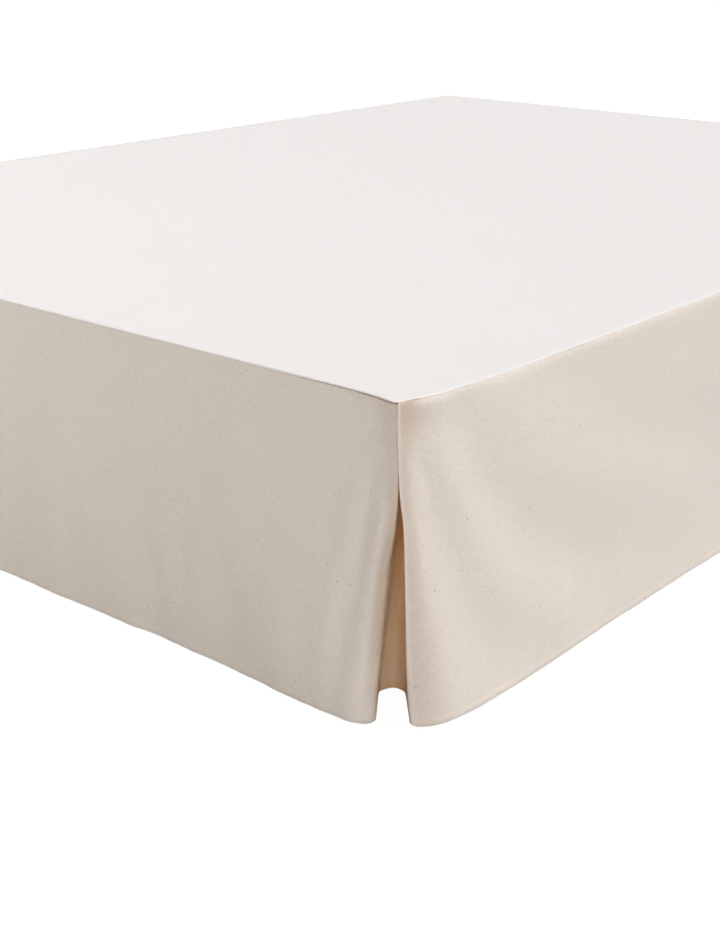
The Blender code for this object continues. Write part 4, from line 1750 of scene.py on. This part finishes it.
@dataclass
class Studio:
    """A pale floor, soft light from the right, the front and the left, and the photograph's camera."""

    camera_place: tuple[float, float, float] = (1.5219, -2.0077, 0.7903)
    pitch: float = 20.195  # degrees down
    yaw: float = 40.046
    roll: float = 0.217
    focal_pixels: float = 1550.0
    image_height: int = 934
    sensor: float = 36.0
    floor: PaleFloor = PaleFloor()
    sky: Colour = (1.0, 1.0, 1.0)
    sky_strength: float = 0.09
    sky_shown: float = 0.86  # how much brighter the camera sees it
    lights: tuple[SoftSun | SoftPanel, ...] = (
        SoftSun("window", (0.40, 0.48, 0.78), 30.0, 0.98, (0.98, 0.997, 1.04)),
        SoftSun("right_fill", (0.95, -0.30, 0.25), 40.0, 0.14, (0.97, 1.0, 1.05)),
        SoftSun("front_fill", (0.62, -0.72, 0.32), 34.0, 0.56, (1.0, 0.997, 0.985)),
        SoftPanel("left_softbox", (-1.3, -2.6, 1.0), (-0.4, -0.95, 0.2), 1.4, 18.0),
    )

    def build(self) -> None:
        """Makes the floor, the light and the camera."""
        self.floor.build()
        self.add_sky()
        for light in self.lights:
            light.build()
        self.add_camera()
        bpy.context.scene.view_settings.view_transform = "Standard"

    def add_sky(self) -> None:
        """An even sky that gives little light and looks as pale as the floor."""
        world = bpy.data.worlds.new("studio_sky")
        world.use_nodes = True
        graph = Graph(world.node_tree)
        to_camera = graph.add("ShaderNodeLightPath").outputs["Is Camera Ray"]
        shown = graph.math("MULTIPLY", to_camera, self.sky_shown)
        strength = graph.math("ADD", shown, self.sky_strength)
        graph.put(graph.tree.nodes["Background"], {"Color": opaque(self.sky), "Strength": strength})
        bpy.context.scene.world = world

    def add_camera(self) -> None:
        """The camera at the photograph's place, worked out from its vanishing lines."""
        pitch, yaw, roll = (math.radians(angle) for angle in (self.pitch, self.yaw, self.roll))
        level = Vector((-math.sin(yaw), math.cos(yaw), 0.0))
        right = Vector((math.cos(yaw), math.sin(yaw), 0.0))
        upright = Vector((0.0, 0.0, 1.0))
        ahead = level * math.cos(pitch) - upright * math.sin(pitch)
        above = level * math.sin(pitch) + upright * math.cos(pitch)
        right_rolled = right * math.cos(roll) + above * math.sin(roll)
        above_rolled = above * math.cos(roll) - right * math.sin(roll)
        turn = Matrix((right_rolled, above_rolled, -ahead)).transposed()
        data = bpy.data.cameras.new("photo_camera")
        data.sensor_width = self.sensor
        data.lens = self.focal_pixels / self.image_height * self.sensor
        camera = bpy.data.objects.new("photo_camera", data)
        camera.matrix_world = Matrix.Translation(self.camera_place) @ turn.to_4x4()
        bpy.context.scene.collection.objects.link(camera)
        bpy.context.scene.camera = camera


# ----------------------------------------------------------------------------------------------------
# Putting it together
# ----------------------------------------------------------------------------------------------------


def dress(piece: bpy.types.Object, material: bpy.types.Material, slot: Slot, *nodes: str) -> None:
    """Gives a piece its finish and lets it stand for its CAD nodes.

    Args:
        piece: The new piece.
        material: Its material.
        slot: The record's slot; not used.
        nodes: The nodes that it replaces.
    """
    piece.data.materials.clear()
    piece.data.materials.append(material)
    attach(piece, BODY)
    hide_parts(*nodes)


def build_skirt(planes: SkirtPlanes, canvas: bpy.types.Material, platform: bpy.types.Material) -> None:
    """Builds the platform panel and the three drops.

    Args:
        planes: The skirt's planes and heights.
        canvas: The drops' material.
        platform: The platform panel's material.
    """
    panel = PlatformPanel(planes)
    sheet = panel.build()
    dress(sheet, platform, Slot.PLATFORM, "platform_panel")
    drops = {
        "foot_drop": FootDrop("foot_canvas", planes, FOOT_CREASES, seed=1.0),
        "side_drop_right": SideDrop("right_side_canvas", planes, SIDE_CREASES, seed=2.0),
        "side_drop_left": SideDrop("left_side_canvas", planes, SIDE_CREASES, seed=3.0, hand=Hand.LEFT),
    }
    for node, drop in drops.items():
        cloth = drop.build()
        dress(cloth, canvas, Slot.CANVAS, node)
        drop.flat()


def build_base(cover: bpy.types.Material, wood: bpy.types.Material) -> None:
    """Builds the base and its six legs.

    Args:
        cover: The base's material.
        wood: The legs' material.
    """
    dress(BedBase().build(), cover, Slot.BASE, "bed_base")
    for row in ("foot", "middle", "head"):
        for side in ("left", "right"):
            node = f"leg_{row}_{side}"
            dress(Leg(node, f"turned_{node}").build(), wood, Slot.WOOD, node)


def main() -> None:
    """Builds the studio, the skirt and the base."""
    logging.basicConfig(level=logging.INFO, format="%(message)s")
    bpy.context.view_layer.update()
    Studio().build()
    groups = ShaderGroups.build()
    planes = SkirtPlanes.from_model()
    build_skirt(planes, CANVAS.build(groups), PLATFORM_CLOTH.build(groups))
    build_base(BASE_COVER.build(groups), TurnedWood().build(groups))


if __name__ == "__main__":
    main()
